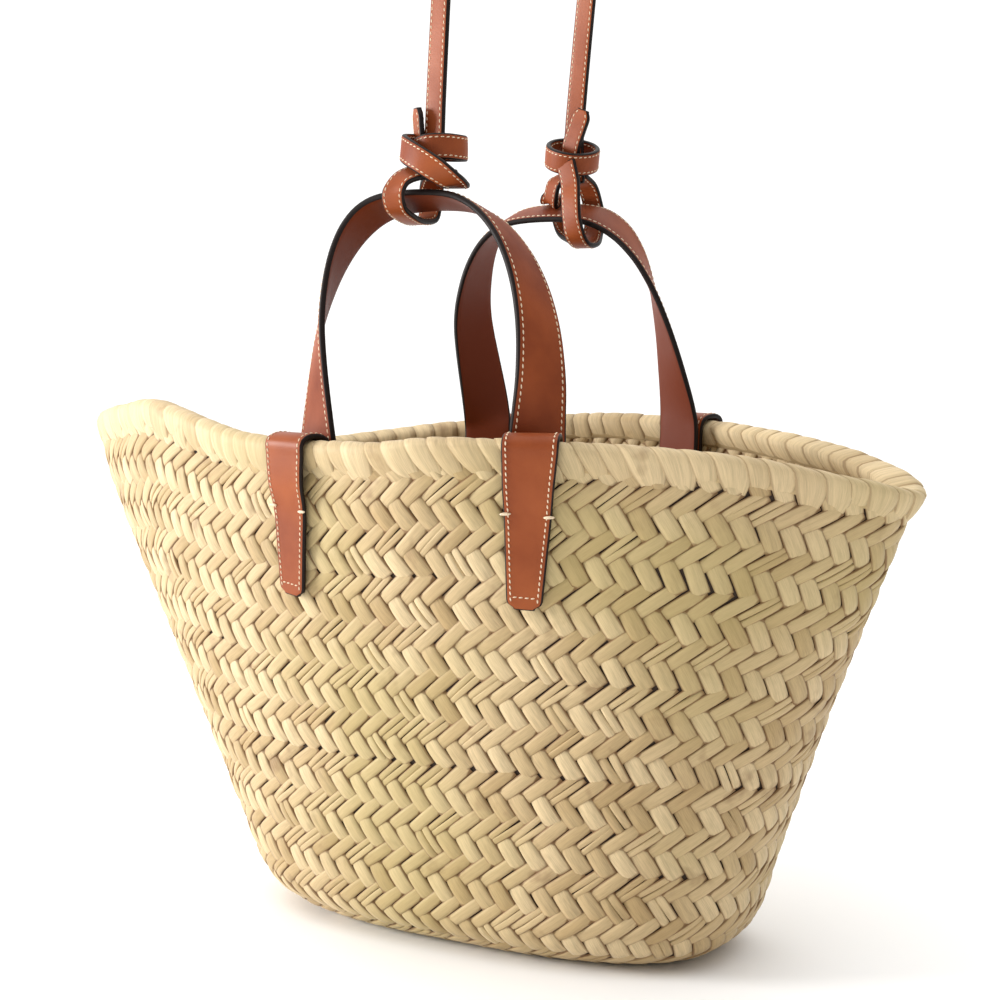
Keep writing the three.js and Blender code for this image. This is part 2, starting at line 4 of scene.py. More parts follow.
import bmesh
import bpy
import numpy as np
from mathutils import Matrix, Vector


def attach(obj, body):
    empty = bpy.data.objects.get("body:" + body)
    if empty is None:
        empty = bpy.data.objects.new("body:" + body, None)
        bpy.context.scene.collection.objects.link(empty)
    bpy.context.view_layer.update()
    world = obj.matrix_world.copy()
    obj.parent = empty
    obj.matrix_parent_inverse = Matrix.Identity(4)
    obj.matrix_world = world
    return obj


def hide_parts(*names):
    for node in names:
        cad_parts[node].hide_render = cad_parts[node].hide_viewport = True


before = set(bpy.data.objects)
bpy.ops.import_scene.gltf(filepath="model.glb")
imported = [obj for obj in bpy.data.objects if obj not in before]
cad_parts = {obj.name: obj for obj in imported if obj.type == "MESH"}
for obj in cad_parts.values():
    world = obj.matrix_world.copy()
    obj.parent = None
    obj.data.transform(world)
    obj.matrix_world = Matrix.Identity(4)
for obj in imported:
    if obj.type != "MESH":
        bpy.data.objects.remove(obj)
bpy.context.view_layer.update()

# Basket sizes, the same as the solids
HEIGHT = 218.0
BASE_HALF_LENGTH = 112.7
BASE_HALF_DEPTH = 59.0
RIM_HALF_DEPTH = 90.0
LEFT_HALF_LENGTH = 222.3
RIGHT_HALF_LENGTH = 179.1
WALL = 2.4
CORNER = 23.0
LENGTH_FLARE = {"left": 1.07, "right": 1.12}
LEFT_FULLNESS = {"length": 1.46, "depth": 1.26}
RIGHT_FULLNESS = {"length": 1.41, "depth": 1.62}
BASE_FULLNESS = 2.67
LEFT_END_TUCK = 12.3
DEPTH_FLARE = 1.3
RISE_FLARE = 1.3
LEFT_TIP_WALL = 8.0
RIGHT_TIP_WALL = 4.5
TIP_SPREAD = 2.5
RIM_TURNS = np.radians(
    [0, 20, 40, 60, 90, 115, 140, 160, 180, 195, 210, 220, 240, 260, 280, 300, 320, 340]
)
RIM_RISES = np.array(
    [-0.086, -0.056, -0.02, 0.004, 0.01, -0.014, -0.056, 0.004, -0.012]
    + [0.013, 0.035, 0.047, -0.003, -0.007, 0.006, 0.002, -0.017, -0.061]
)
BORDER_HEIGHT = 10.0
BORDER_LEG = 1.5
RELIEF = 0.9
CLEARANCE = 0.5

# Leather sizes
HANDLE_WIDTH = 22.0
HANDLE_THICKNESS = 2.6
HANDLE_SPACING = 107.0
HANDLE_INNER_LENGTH = 42.0
LEGS = {
    ("front", -1): {"fullness": 3.84, "bulge": 2.3, "twist": 4.5, "turning": 0.93, "slant": -0.08},
    ("front", 1): {"fullness": 2.28, "bulge": 1.8, "twist": 15, "turning": 0.56, "slant": -0.09},
    ("back", -1): {"fullness": 4.5, "bulge": 6.5, "twist": 5, "turning": 0.55, "slant": 0.09},
    ("back", 1): {"fullness": 2.32, "bulge": -4, "twist": 5, "turning": 1, "slant": -0.09},
}
LEG_PLAY = 0.8
FRONT_ARCH = {"rise": 93.3, "lean": 29.05, "right": -4, "tilt": 13.8, "middle": -0.5}
BACK_ARCH = {"rise": 94, "lean": 18.29, "right": -2, "tilt": 19, "middle": 2.3}
TAB_TOP_WIDTH = 22.0
TAB_END_WIDTH = 14.0
TAB_OUTER_LENGTH = 63.0
TAB_INNER_LENGTH = 34.0
TAB_THICKNESS = 2.2
TAB_PUFF = 1.0
TAB_GAP = 0.8
TAB_SEWN_DEPTH = 27.0
STRAP_WIDTH = 9.8
STRAP_THICKNESS = 2.2
STRAP_TOP = {"height": 720, "span": 70, "turn": 60, "shift": 27}

KNOT_UNIT = 25.0
FRONT_KNOT = {
    "run": [
        (0.00, -0.04, 0.35, -0.98, 0.21, 0),
        (-0.04, 0.02, 0.67, -0.98, 0.21, 0),
        (-0.06, 0.05, 1.03, -0.98, 0.21, 0),
    ],
    "tail": [
        (-0.20, 0.04, 0.39, 0.72, -0.69, 0),
        (-0.30, 0.04, 0.75, 0.72, -0.69, 0),
        (-0.33, 0.02, 1.07, 0.72, -0.69, 0),
        (-0.34, 0.00, 1.38, 0.72, -0.69, 0),
    ],
    "wrap": [
        (-0.16, -0.32, 0.73, 0, 0, 1),
        (0.08, -0.40, 0.77, 0, 0, 1),
        (0.32, -0.26, 0.78, 0, 0, 1),
        (0.44, 0.04, 0.77, 0, 0, 1),
        (0.28, 0.36, 0.79, 0, 0, 1),
        (-0.02, 0.44, 0.81, 0, 0, 1),
        (-0.32, 0.32, 0.83, 0, 0, 1),
        (-0.48, 0.00, 0.83, 0, 0, 1),
        (-0.42, -0.30, 0.79, 0.1, 0, 1),
        (-0.20, -0.53, 0.69, 0.35, 0, 0.9),
        (0.08, -0.62, 0.55, 0.6, 0, 0.8),
        (0.34, -0.58, 0.39, 0.75, 0, 0.6),
        (0.46, -0.41, 0.27, 0.85, -0.1, 0.35),
        (0.44, -0.16, 0.22, 0.95, 0.2, 0),
        (0.28, 0.12, 0.22, 0.9, 0.4, 0),
        (0.00, 0.28, 0.31, 0.8, 0.5, 0),
    ],
    "loop": [
        (0.24, -0.12, 0.43, 0.3, -0.7, -0.6),
        (0.00, -0.42, 0.41, 0.48, -0.6, -0.56),
        (-0.28, -0.60, 0.29, 0.8, -0.3, -0.3),
        (-0.40, -0.66, 0.07, 1, 0, 0),
        (-0.43, -0.56, -0.13, 1, 0, 0),
        (-0.46, -0.20, -0.26, 1, 0, 0),
        (-0.50, 0.24, -0.31, 1, 0, 0),
        (-0.51, 0.60, -0.24, 1, 0, 0),
        (-0.49, 0.65, 0.01, 1, 0.1, 0),
        (-0.36, 0.46, 0.25, 0.9, 0.3, 0),
        (-0.12, 0.20, 0.39, 0.8, 0.5, 0),
        (0.16, 0.04, 0.43, 0.7, 0.7, 0),
    ],
}
BACK_KNOT = {
    "run": [
        (0.16, 0.02, 0.52, -0.95, 0.1, 0),
        (0.10, 0.10, 0.96, -0.95, 0.1, 0),
        (0.09, 0.12, 1.32, -0.95, 0.1, 0),
    ],
    "tail": [
        (0.10, -0.02, 0.52, 0.97, -0.2, 0),
        (0.17, -0.18, 1.08, 0.97, -0.2, -0.3),
        (0.29, -0.20, 1.40, 0.93, -0.2, -0.35),
        (0.41, -0.19, 1.71, 0.93, -0.2, -0.35),
    ],
    "loop": [
        (0.22, -0.47, 0.80, 0.97, -0.2, 0),
        (0.32, -0.52, 0.48, 0.97, -0.2, 0),
        (0.38, -0.61, 0.16, 0.97, -0.2, 0),
        (0.42, -0.64, -0.16, 0.97, -0.2, 0),
        (0.46, -0.58, -0.44, 1, 0, 0),
        (0.48, -0.36, -0.58, 1, 0, 0),
        (0.46, 0.00, -0.56, 1, 0, 0),
        (0.34, 0.40, -0.40, 1, 0, 0),
        (0.28, 0.62, -0.08, 1, 0, 0),
        (0.22, 0.64, 0.20, 1, 0, 0),
        (0.20, 0.46, 0.48, 1, 0, 0),
        (0.16, 0.12, 0.64, 1, 0, 0),
    ],
    "strand": [
        (0.12, -0.08, 0.68, 0.9, -0.4, 0),
        (-0.14, -0.20, 0.48, 0.85, -0.5, -0.1),
        (-0.28, -0.06, 0.22, 0.75, -0.6, -0.2),
        (-0.40, 0.24, 0.28, 0.95, -0.25, 0),
        (-0.46, 0.56, 0.32, 1, 0, 0),
        (-0.42, 0.67, 0.00, 1, 0.1, 0),
        (-0.24, 0.56, -0.32, 0.8, 0.5, 0),
        (0.08, 0.28, -0.48, 0.65, 0.75, 0),
        (0.40, -0.04, -0.56, 0.7, 0.7, 0),
    ],
}
BACK_RING = {"middle": (0.13, -0.04, 0.96), "radius": 0.436, "slopes": (-0.24, 0.31)}


# Shape of the basket
def rim_rise(turn):
    """Height of the rim over its middle, as a share of the basket's height."""
    full = 2 * math.pi
    at = np.mod(turn, full)
    k = np.searchsorted(RIM_TURNS, at, side="right") - 1
    turns = np.concatenate([RIM_TURNS[-1:] - full, RIM_TURNS, RIM_TURNS[:2] + full])
    rises = np.concatenate([RIM_RISES[-1:], RIM_RISES, RIM_RISES[:2]])
    a, b, c, d = (turns[k + i] for i in range(4))
    ra, rb, rc, rd = (rises[k + i] for i in range(4))
    span = c - b
    t = (at - b) / span
    slope_b = (rc - ra) / (c - a) * span
    slope_c = (rd - rb) / (d - b) * span
    return (
        (2 * t**3 - 3 * t**2 + 1) * rb
        + (t**3 - 2 * t**2 + t) * slope_b
        + (3 * t**2 - 2 * t**3) * rc
        + (t**3 - t**2) * slope_c
    )


def wall_point(turn, level, inset=0.0, tip_inset=None):
    """Points of the wall: level is 0 at the base and 1 at the rim, inset is measured inwards."""
    turn, level, inset = np.broadcast_arrays(
        np.asarray(turn, float), np.asarray(level, float), np.asarray(inset, float)
    )
    tip_inset = inset if tip_inset is None else np.asarray(tip_inset, float)
    c, s = np.cos(turn), np.sin(turn)
    left = c < 0
    full_length = np.where(left, LEFT_FULLNESS["length"], RIGHT_FULLNESS["length"])
    full_depth = np.where(left, LEFT_FULLNESS["depth"], RIGHT_FULLNESS["depth"])
    length = BASE_FULLNESS + (full_length - BASE_FULLNESS) * level
    depth = BASE_FULLNESS + (full_depth - BASE_FULLNESS) * level
    height = level * HEIGHT
    below = np.clip(CORNER - height, 0, CORNER)
    corner = CORNER - np.sqrt(CORNER**2 - below**2)
    tuck = np.where(left, LEFT_END_TUCK, 0.0)
    end = np.where(left, LEFT_HALF_LENGTH, RIGHT_HALF_LENGTH) + tuck
    flare = np.where(left, LENGTH_FLARE["left"], LENGTH_FLARE["right"])
    half_length = BASE_HALF_LENGTH + (end - BASE_HALF_LENGTH) * level**flare - tuck * level**12
    half_depth = BASE_HALF_DEPTH + (RIM_HALF_DEPTH - BASE_HALF_DEPTH) * level**DEPTH_FLARE
    x = np.sign(c) * np.abs(c) ** (2 / length) * (half_length - corner - tip_inset)
    y = np.sign(s) * np.abs(s) ** (2 / depth) * (half_depth - corner - inset)
    z = height + rim_rise(turn) * HEIGHT * level**RISE_FLARE
    return np.stack([x, y, z], -1)


def inner_point(turn, level, extra=0.0):
    turn, level, extra = np.broadcast_arrays(
        np.asarray(turn, float), np.asarray(level, float), np.asarray(extra, float)
    )
    tip = np.where(np.cos(turn) < 0, LEFT_TIP_WALL, RIGHT_TIP_WALL)
    return wall_point(turn, level, WALL + extra, WALL + (tip - WALL) * level + extra * TIP_SPREAD)


def turn_at(x, back, level=1.0):
    low, high = 0.0, math.pi
    for _ in range(40):
        middle = (low + high) / 2
        if wall_point(middle, level)[0] > x:
            low = middle
        else:
            high = middle
    return low if back else 2 * math.pi - low


def rim_normal(turn):
    along = wall_point(turn + 0.02, 1.0) - wall_point(turn - 0.02, 1.0)
    out = np.array([along[1], -along[0], 0.0])
    return out / np.linalg.norm(out)


def leg_seat(side, back):
    arch = BACK_ARCH if back else FRONT_ARCH
    x = arch["middle"] + side * HANDLE_SPACING / 2
    turn = turn_at(x, back)
    out = rim_normal(turn)
    along = np.array([-out[1], out[0], 0.0])
    return {"x": x, "turn": turn, "out": out, "along": along, "rim": wall_point(turn, 1.0)}


def arch_top(back):
    arch = BACK_ARCH if back else FRONT_ARCH
    rim = (leg_seat(-1, back)["rim"] + leg_seat(1, back)["rim"]) / 2
    way = 1 if back else -1
    return np.array([arch["right"], rim[1] - way * arch["lean"], rim[2] + arch["rise"]])


HANG = np.array(
    [
        STRAP_TOP["shift"],
        (arch_top(False)[1] + arch_top(True)[1]) / 2,
        STRAP_TOP["height"],
    ]
)


def placed(points):
    """From basket millimetres to metres below the hanging point."""
    return (np.asarray(points, float) - HANG) / 1000.0


# Meshes
def new_piece(name, points, faces, node, materials, uv=None, shades=None, face_slots=None):
    """One piece of the bag from arrays: points in basket millimetres, faces as index lists."""
    mesh = bpy.data.meshes.new(name)
    mesh.from_pydata(placed(points).tolist(), [], [list(map(int, f)) for f in faces])
    for material in materials:
        mesh.materials.append(material)
    if uv is not None:
        layer = mesh.uv_layers.new(name="leaf")
        corners = np.zeros(len(mesh.loops), np.int64)
        mesh.loops.foreach_get("vertex_index", corners)
        layer.data.foreach_set("uv", np.asarray(uv, np.float32)[corners].ravel())
    if shades is not None:
        colours = mesh.color_attributes.new("piece_shade", "FLOAT_COLOR", "POINT")
        rgba = np.ones((len(mesh.vertices), 4), np.float32)
        rgba[:, : np.shape(shades)[1]] = shades
        colours.data.foreach_set("color", rgba.ravel())
    if face_slots is not None:
        mesh.polygons.foreach_set("material_index", np.asarray(face_slots, np.int32))
    mesh.polygons.foreach_set("use_smooth", np.ones(len(mesh.polygons), bool))
    mesh.update()
    piece = bpy.data.objects.new(name, mesh)
    bpy.context.scene.collection.objects.link(piece)
    dress(piece, node)
    return piece


def dress(piece, node):
    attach(piece, "root")
    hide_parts(node)


def patch_faces(rows, columns, first=0):
    """Faces of a grid of points, rows by columns."""
    r, c = np.meshgrid(np.arange(rows - 1), np.arange(columns - 1), indexing="ij")
    a = (first + r * columns + c).ravel()
    return np.stack([a, a + 1, a + columns + 1, a + columns], -1)


# Plaiting
LEAF_A = {"way": (0.545, -0.839), "half_length": 5.93, "half_width": 4.04}
LEAF_B = {"way": (0.788, 0.616), "half_length": 8.08, "half_width": 2.965}
PITCH = 9.6
PERIOD = 19.9
BASE_EDGE = -CORNER * math.pi / 2
ROW_TOP = 190.0
FIRST_ROW = 177.0 - 9 * PERIOD - 2.5 * PERIOD / 4


class WallSheet:
    """The wall laid out flat: height up the wall in millimetres against share of the way round."""

    def __init__(self, inside):
        self.inside = inside
        self.low = BASE_EDGE - 2
        self.heights = np.arange(self.low, ROW_TOP + 14, 2.0)
        turns = np.linspace(0, 2 * math.pi, 2881)
        self.columns = 1800
        spread = np.linspace(0, 1, self.columns + 1)
        sheet, knots, rounds = [], [], []
        for height in self.heights:
            ring = self.ring(turns, height)
            steps = np.linalg.norm(np.diff(ring, axis=0), axis=1)
            share = np.concatenate([[0], np.cumsum(steps)])
            rounds.append(share[-1])
            share = share / share[-1]
            sheet.append(np.stack([np.interp(spread, share, ring[:, k]) for k in range(3)], -1))
            knots.append([0, share[720], share[1440], share[2160], 1])
        self.points = np.array(sheet)
        self.knots = np.array(knots)
        self.rounds = np.array(rounds)
        around = np.roll(self.points[:, :-1], -3, 1) - np.roll(self.points[:, :-1], 3, 1)
        upward = np.gradient(self.points[:, :-1], axis=0)
        normals = np.cross(around, upward)
        normals /= np.maximum(np.linalg.norm(normals, axis=-1, keepdims=True), 1e-9)
        if inside:
            normals = -normals
        self.normals = np.concatenate([normals, normals[:, :1]], 1)
        self.leans = {}

    def lean(self, band):
        """How far a line straight up the wall drifts round it for each millimetre, at a band."""
        if band not in self.leans:
            share = np.linspace(0, 1, 721)
            flat = np.zeros_like(share)
            above = self.place(share, flat + band + 6, band, flat)
            below = self.place(share, flat + band - 6, band, flat)
            here = self.place(share, flat + band, band, flat)
            around = np.roll(here[:-1], -2, 0) - np.roll(here[:-1], 2, 0)
            around /= np.maximum(np.linalg.norm(around, axis=1, keepdims=True), 1e-9)
            drift = np.sum((above - below)[:-1] / 12 * around, 1)
            weights = np.hanning(25)
            weights /= weights.sum()
            drift = np.convolve(np.concatenate([drift[-12:], drift, drift[:12]]), weights, "valid")
            self.leans[band] = np.append(drift, drift[0])
        return self.leans[band]

    def at(self, share, height, band, lift):
        """Points of the wall by leaf: square to the way round at the band's own height."""
        drift = np.interp(np.mod(share, 1.0), np.linspace(0, 1, 721), self.lean(band))
        share = share - drift * (height - band) / self.round_at(band)
        return self.place(share, height, band, lift)

    def ring(self, turns, height):
        if height < 0:
            bend = min(-height / CORNER, math.pi / 2)
            level = CORNER * (1 - math.sin(bend)) / HEIGHT
        else:
            level = (CORNER + height) / HEIGHT
        if not self.inside:
            return wall_point(turns, level)
        ring = inner_point(turns, level)
        if height < 0:
            ring[:, 2] = np.maximum(ring[:, 2], WALL + (ring[:, 2] - WALL) * level * HEIGHT / CORNER)
        return ring

    def place(self, share, height, band, lift):
        """Points at a share of the way round, measured at the band's height, lifted off the wall."""
        row = np.clip((height - self.heights[0]) / 2.0, 0, len(self.heights) - 1.001)
        r = row.astype(int)
        q = (row - r)[..., None]
        here = np.array([np.interp(band, self.heights, self.knots[:, k]) for k in range(5)])
        share = np.mod(share, 1.0)
        part = np.clip(np.searchsorted(here, share, side="right") - 1, 0, 3)
        along = (share - here[part]) / (here[part + 1] - here[part])
        level_knots = self.knots[r] * (1 - q) + self.knots[np.minimum(r + 1, len(self.knots) - 1)] * q
        low = np.take_along_axis(level_knots, part[..., None], -1)[..., 0]
        high = np.take_along_axis(level_knots, part[..., None] + 1, -1)[..., 0]
        column = np.clip(low + along * (high - low), 0, 1) * self.columns
        c = np.minimum(column.astype(int), self.columns - 1)
        p = (column - c)[..., None]

        def blend(grid):
            lower = grid[r, c] * (1 - p) + grid[r, c + 1] * p
            upper = grid[r + 1, c] * (1 - p) + grid[r + 1, c + 1] * p
            return lower * (1 - q) + upper * q

        return blend(self.points) + blend(self.normals) * lift[..., None]

    def round_at(self, height):
        return float(np.interp(height, self.heights, self.rounds))


def leaf_patch(kind, rng, along_steps, across_steps, split=0):
    """One visible length of leaf on the flat: its grid in millimetres and its height over the wall."""
    reach = kind["half_length"]
    half = kind["half_width"]
    s = np.linspace(-1.2, 1.2, along_steps)
    t = np.concatenate([[-1.05], np.linspace(-0.96, 0.96, across_steps - 2), [1.05]])
    skirt = np.zeros(across_steps)
    skirt[[0, -1]] = 0.75
    centre, share = 0.0, 1.0
    if split:
        share = 0.5
        centre = split * 0.5
    s, t = np.meshgrid(s, t, indexing="ij")
    lift = kind["lift"] * (1 - np.abs(s) ** 2.6) + kind["crown"] * (1 - np.abs(t) ** 2.2)
    lift = lift + kind["base"] - skirt[None, :] + rng.uniform(-0.12, 0.12)
    lift = lift + t * rng.uniform(-0.16, 0.16) + s * rng.uniform(-0.12, 0.12)
    width = rng.uniform(0.9, 1.02)
    taper = 1 + s * rng.uniform(-0.06, 0.06)
    across = (centre + t * share * 0.97 * width * taper) * half
    along = s * reach + rng.uniform(-0.35, 0.35)
    turn = math.radians(rng.gauss(0, 1.8))
    way = np.array(kind["way"])
    side = np.array([-way[1], way[0]])
    way = way * math.cos(turn) + side * math.sin(turn)
    side = np.array([-way[1], way[0]])
    x = along * way[0] + across * side[0]
    y = along * way[1] + across * side[1] + rng.uniform(-0.25, 0.25)
    return x, y, lift, np.stack([along, across], -1)


def plait(name, inside, grid, seed):
    """All the leaves of one face of the wall, in bands of rows with their own count of leaves."""
    rng = random.Random(seed)
    sheet = WallSheet(inside)
    kinds = {
        "A": dict(LEAF_A, lift=0.7, crown=0.5, base=0.05),
        "B": dict(LEAF_B, lift=0.62, crown=0.25, base=0.05),
    }
    points, faces, uv, shades = [], [], [], []
    faces_of_patch = patch_faces(*grid)
    if inside:
        faces_of_patch = faces_of_patch[:, ::-1]
    total = 0
    rows = 12
    for pair in range(-1, rows):
        band = pair // 2
        middle = FIRST_ROW + (band * 2 + 1) * PERIOD
        middle = min(max(middle, BASE_EDGE + 4), ROW_TOP)
        around = sheet.round_at(middle)
        count = max(8, round(around / PITCH))
        pitch = around / count
        stretch = pitch / PITCH
        shift = random.Random(seed * 31 + band).uniform(0, 1)
        for letter in "AB":
            kind = kinds[letter]
            if letter == "A":
                height = FIRST_ROW + (pair + 0.125) * PERIOD
                offset = -(0.5 + 4 * pair) * 1.347 / 4
            else:
                height = FIRST_ROW + (pair + 0.625) * PERIOD
                offset = (4 * pair + 2.5) * 0.66325
            if height < BASE_EDGE - 3 or height > ROW_TOP:
                continue
            row_tone = rng.gauss(0, 0.35)
            for i in range(count):
                splits = (0,)
                if rng.random() < (0.3 if letter == "B" else 0.1):
                    splits = (-1, 1)
                tone = rng.random()
                for split in splits:
                    x, y, lift, flat = leaf_patch(kind, rng, *grid, split)
                    share = ((i + offset + shift) * pitch + x * stretch) / around
                    up = np.maximum(height + y, BASE_EDGE - 1.5)
                    made = sheet.at(share, up, middle, lift)
                    points.append(made.reshape(-1, 3))
                    faces.append(faces_of_patch + total)
                    uv.append(flat.reshape(-1, 2) + (rng.uniform(0, 900), rng.uniform(0, 900)))
                    shade = np.zeros((made.shape[0] * made.shape[1], 3))
                    shade[:, 0] = np.clip(tone + 0.12 * row_tone + rng.gauss(0, 0.08), 0, 1)
                    shade[:, 1] = 1.0 if letter == "B" else 0.0
                    # painted shade: the blue channel darkens each leaf toward brown along its edges and
                    # ends, where it meets and dips under its neighbours
                    edge = np.abs(flat[..., 1] / kind["half_width"])
                    end = np.abs(flat[..., 0] / kind["half_length"])
                    dark = np.maximum((end - 0.7) * 2.2, (edge - 0.48) * 2.1)
                    shade[:, 2] = np.clip(dark, 0, 1).ravel()
                    shades.append(shade)
                    total += len(made.reshape(-1, 3))
    return new_piece(
        name,
        np.concatenate(points),
        np.concatenate(faces),
        "basket_shell",
        [straw_leaf],
        uv=np.concatenate(uv),
        shades=np.concatenate(shades),
    )


def base_plait(name, inside, seed):
    """The flat bottom, plaited the same way on both faces."""
    rng = random.Random(seed)
    kinds = {
        "A": dict(LEAF_A, lift=0.7, crown=0.4, base=0.05),
        "B": dict(LEAF_B, lift=0.62, crown=0.25, base=0.05),
    }
    grid = (6, 5)
    pattern = patch_faces(*grid)
    if not inside:
        pattern = pattern[:, ::-1]
    flat_length = BASE_HALF_LENGTH - CORNER
    flat_depth = BASE_HALF_DEPTH - CORNER
    points, faces, uv, shades = [], [], [], []
    total = 0
    for pair in range(-4, 5):
        for letter in "AB":
            kind = kinds[letter]
            if letter == "A":
                y0 = (pair + 0.125) * PERIOD
                offset = -(0.5 + 4 * pair) * 1.347 / 4
            else:
                y0 = (pair + 0.625) * PERIOD
                offset = (4 * pair + 2.5) * 0.66325
            for i in range(-24, 25):
                x0 = (i + offset - round(offset)) * PITCH
                reach = (abs(x0) / flat_length) ** BASE_FULLNESS
                if reach + (abs(y0) / flat_depth) ** BASE_FULLNESS > 1.12:
                    continue
                x, y, lift, flat = leaf_patch(kind, rng, *grid)
                px, py = x0 + x, y0 + y
                z = (WALL + lift) if inside else (0.35 - lift)
                # past the flat of the base the leaves turn up round the corner
                share = (np.abs(px) / flat_length) ** BASE_FULLNESS
                share = share + (np.abs(py) / flat_depth) ** BASE_FULLNESS
                share = np.maximum(share, 1.0) ** (1 / BASE_FULLNESS)
                over = np.minimum(np.hypot(px, py) * (1 - 1 / share), 0.9 * CORNER)
                z = z + CORNER - np.sqrt(CORNER**2 - over**2)
                points.append(np.stack([px, py, z], -1).reshape(-1, 3))
                faces.append(pattern + total)
                uv.append(flat.reshape(-1, 2) + (rng.uniform(0, 900), rng.uniform(0, 900)))
                shade = np.zeros((px.size, 3))
                shade[:, 0] = rng.random()
                shade[:, 1] = 1.0 if letter == "B" else 0.0
                # painted shade: the blue channel darkens the ends of each leaf toward brown, where they
                # dip under their neighbours
                end = np.abs(flat[..., 0] / kind["half_length"])
                shade[:, 2] = np.clip((end - 0.75) * 2, 0, 1).ravel()
                shades.append(shade)
                total += px.size
    made = np.concatenate(points)
    if not inside:
        made[:, 2] = np.maximum(made[:, 2], -1.0)
    return new_piece(
        name,
        made,
        np.concatenate(faces),
        "basket_shell",
        [straw_leaf],
        uv=np.concatenate(uv),
        shades=np.concatenate(shades),
    )


def basket_core():
    """The hidden middle of the wall, seen only in the gaps between the leaves, where it is coloured dark
    brown as painted shade.
    """
    turns = np.linspace(0, 2 * math.pi, 181)[:-1]
    sink = 0.75
    rows = []
    bends = np.linspace(math.pi / 2, 0, 7)
    for bend in bends:
        level = CORNER * (1 - math.sin(bend)) / HEIGHT
        ring = wall_point(turns, level, sink)
        ring[:, 2] += sink * math.sin(bend)
        rows.append(ring)
    for level in np.linspace(CORNER / HEIGHT, 0.992, 24)[1:]:
        rows.append(wall_point(turns, level, sink))
    for level in np.linspace(0.992, CORNER / HEIGHT, 24):
        rows.append(inner_point(turns, level, -sink))
    for bend in bends[::-1][1:]:
        level = CORNER * (1 - math.sin(bend)) / HEIGHT
        ring = inner_point(turns, level, -sink)
        low = WALL - sink
        ring[:, 2] = np.maximum(ring[:, 2], low + (ring[:, 2] - low) * level * HEIGHT / CORNER)
        rows.append(ring)
    count, sides = len(rows), len(turns)
    points = np.concatenate(rows)
    faces = []
    for r in range(count - 1):
        for k in range(sides):
            n = (k + 1) % sides
            faces.append((r * sides + k, r * sides + n, (r + 1) * sides + n, (r + 1) * sides + k))
    low = len(points)
    points = np.concatenate([points, [rows[0].mean(0)], [rows[-1].mean(0)]])
    top = (count - 1) * sides
    for k in range(sides):
        n = (k + 1) % sides
        faces.append((low, n, k))
        faces.append((low + 1, top + k, top + n))
    # painted shade: the whole core takes the darkest brown of its dark material
    shades = np.tile([0.2, 1.0, 1.0], (len(points), 1))
    return new_piece(
        "basket_core", points, faces, "basket_shell", [painted_shade_straw], shades=shades
    )


# Rim
def smooth_weights(count, steps):
    """Weights that take count points to a smooth curve of steps points."""
    table = np.zeros((steps, count))
    for i in range(steps):
        at = i / (steps - 1) * (count - 1)
        k = min(int(at), count - 2)
        t = at - k
        parts = (
            (k - 1, -0.5 * t**3 + t**2 - 0.5 * t),
            (k, 1.5 * t**3 - 2.5 * t**2 + 1),
            (k + 1, -1.5 * t**3 + 2 * t**2 + 0.5 * t),
            (k + 2, 0.5 * t**3 - 0.5 * t**2),
        )
        for index, weight in parts:
            table[i, min(max(index, 0), count - 1)] += weight
    return table


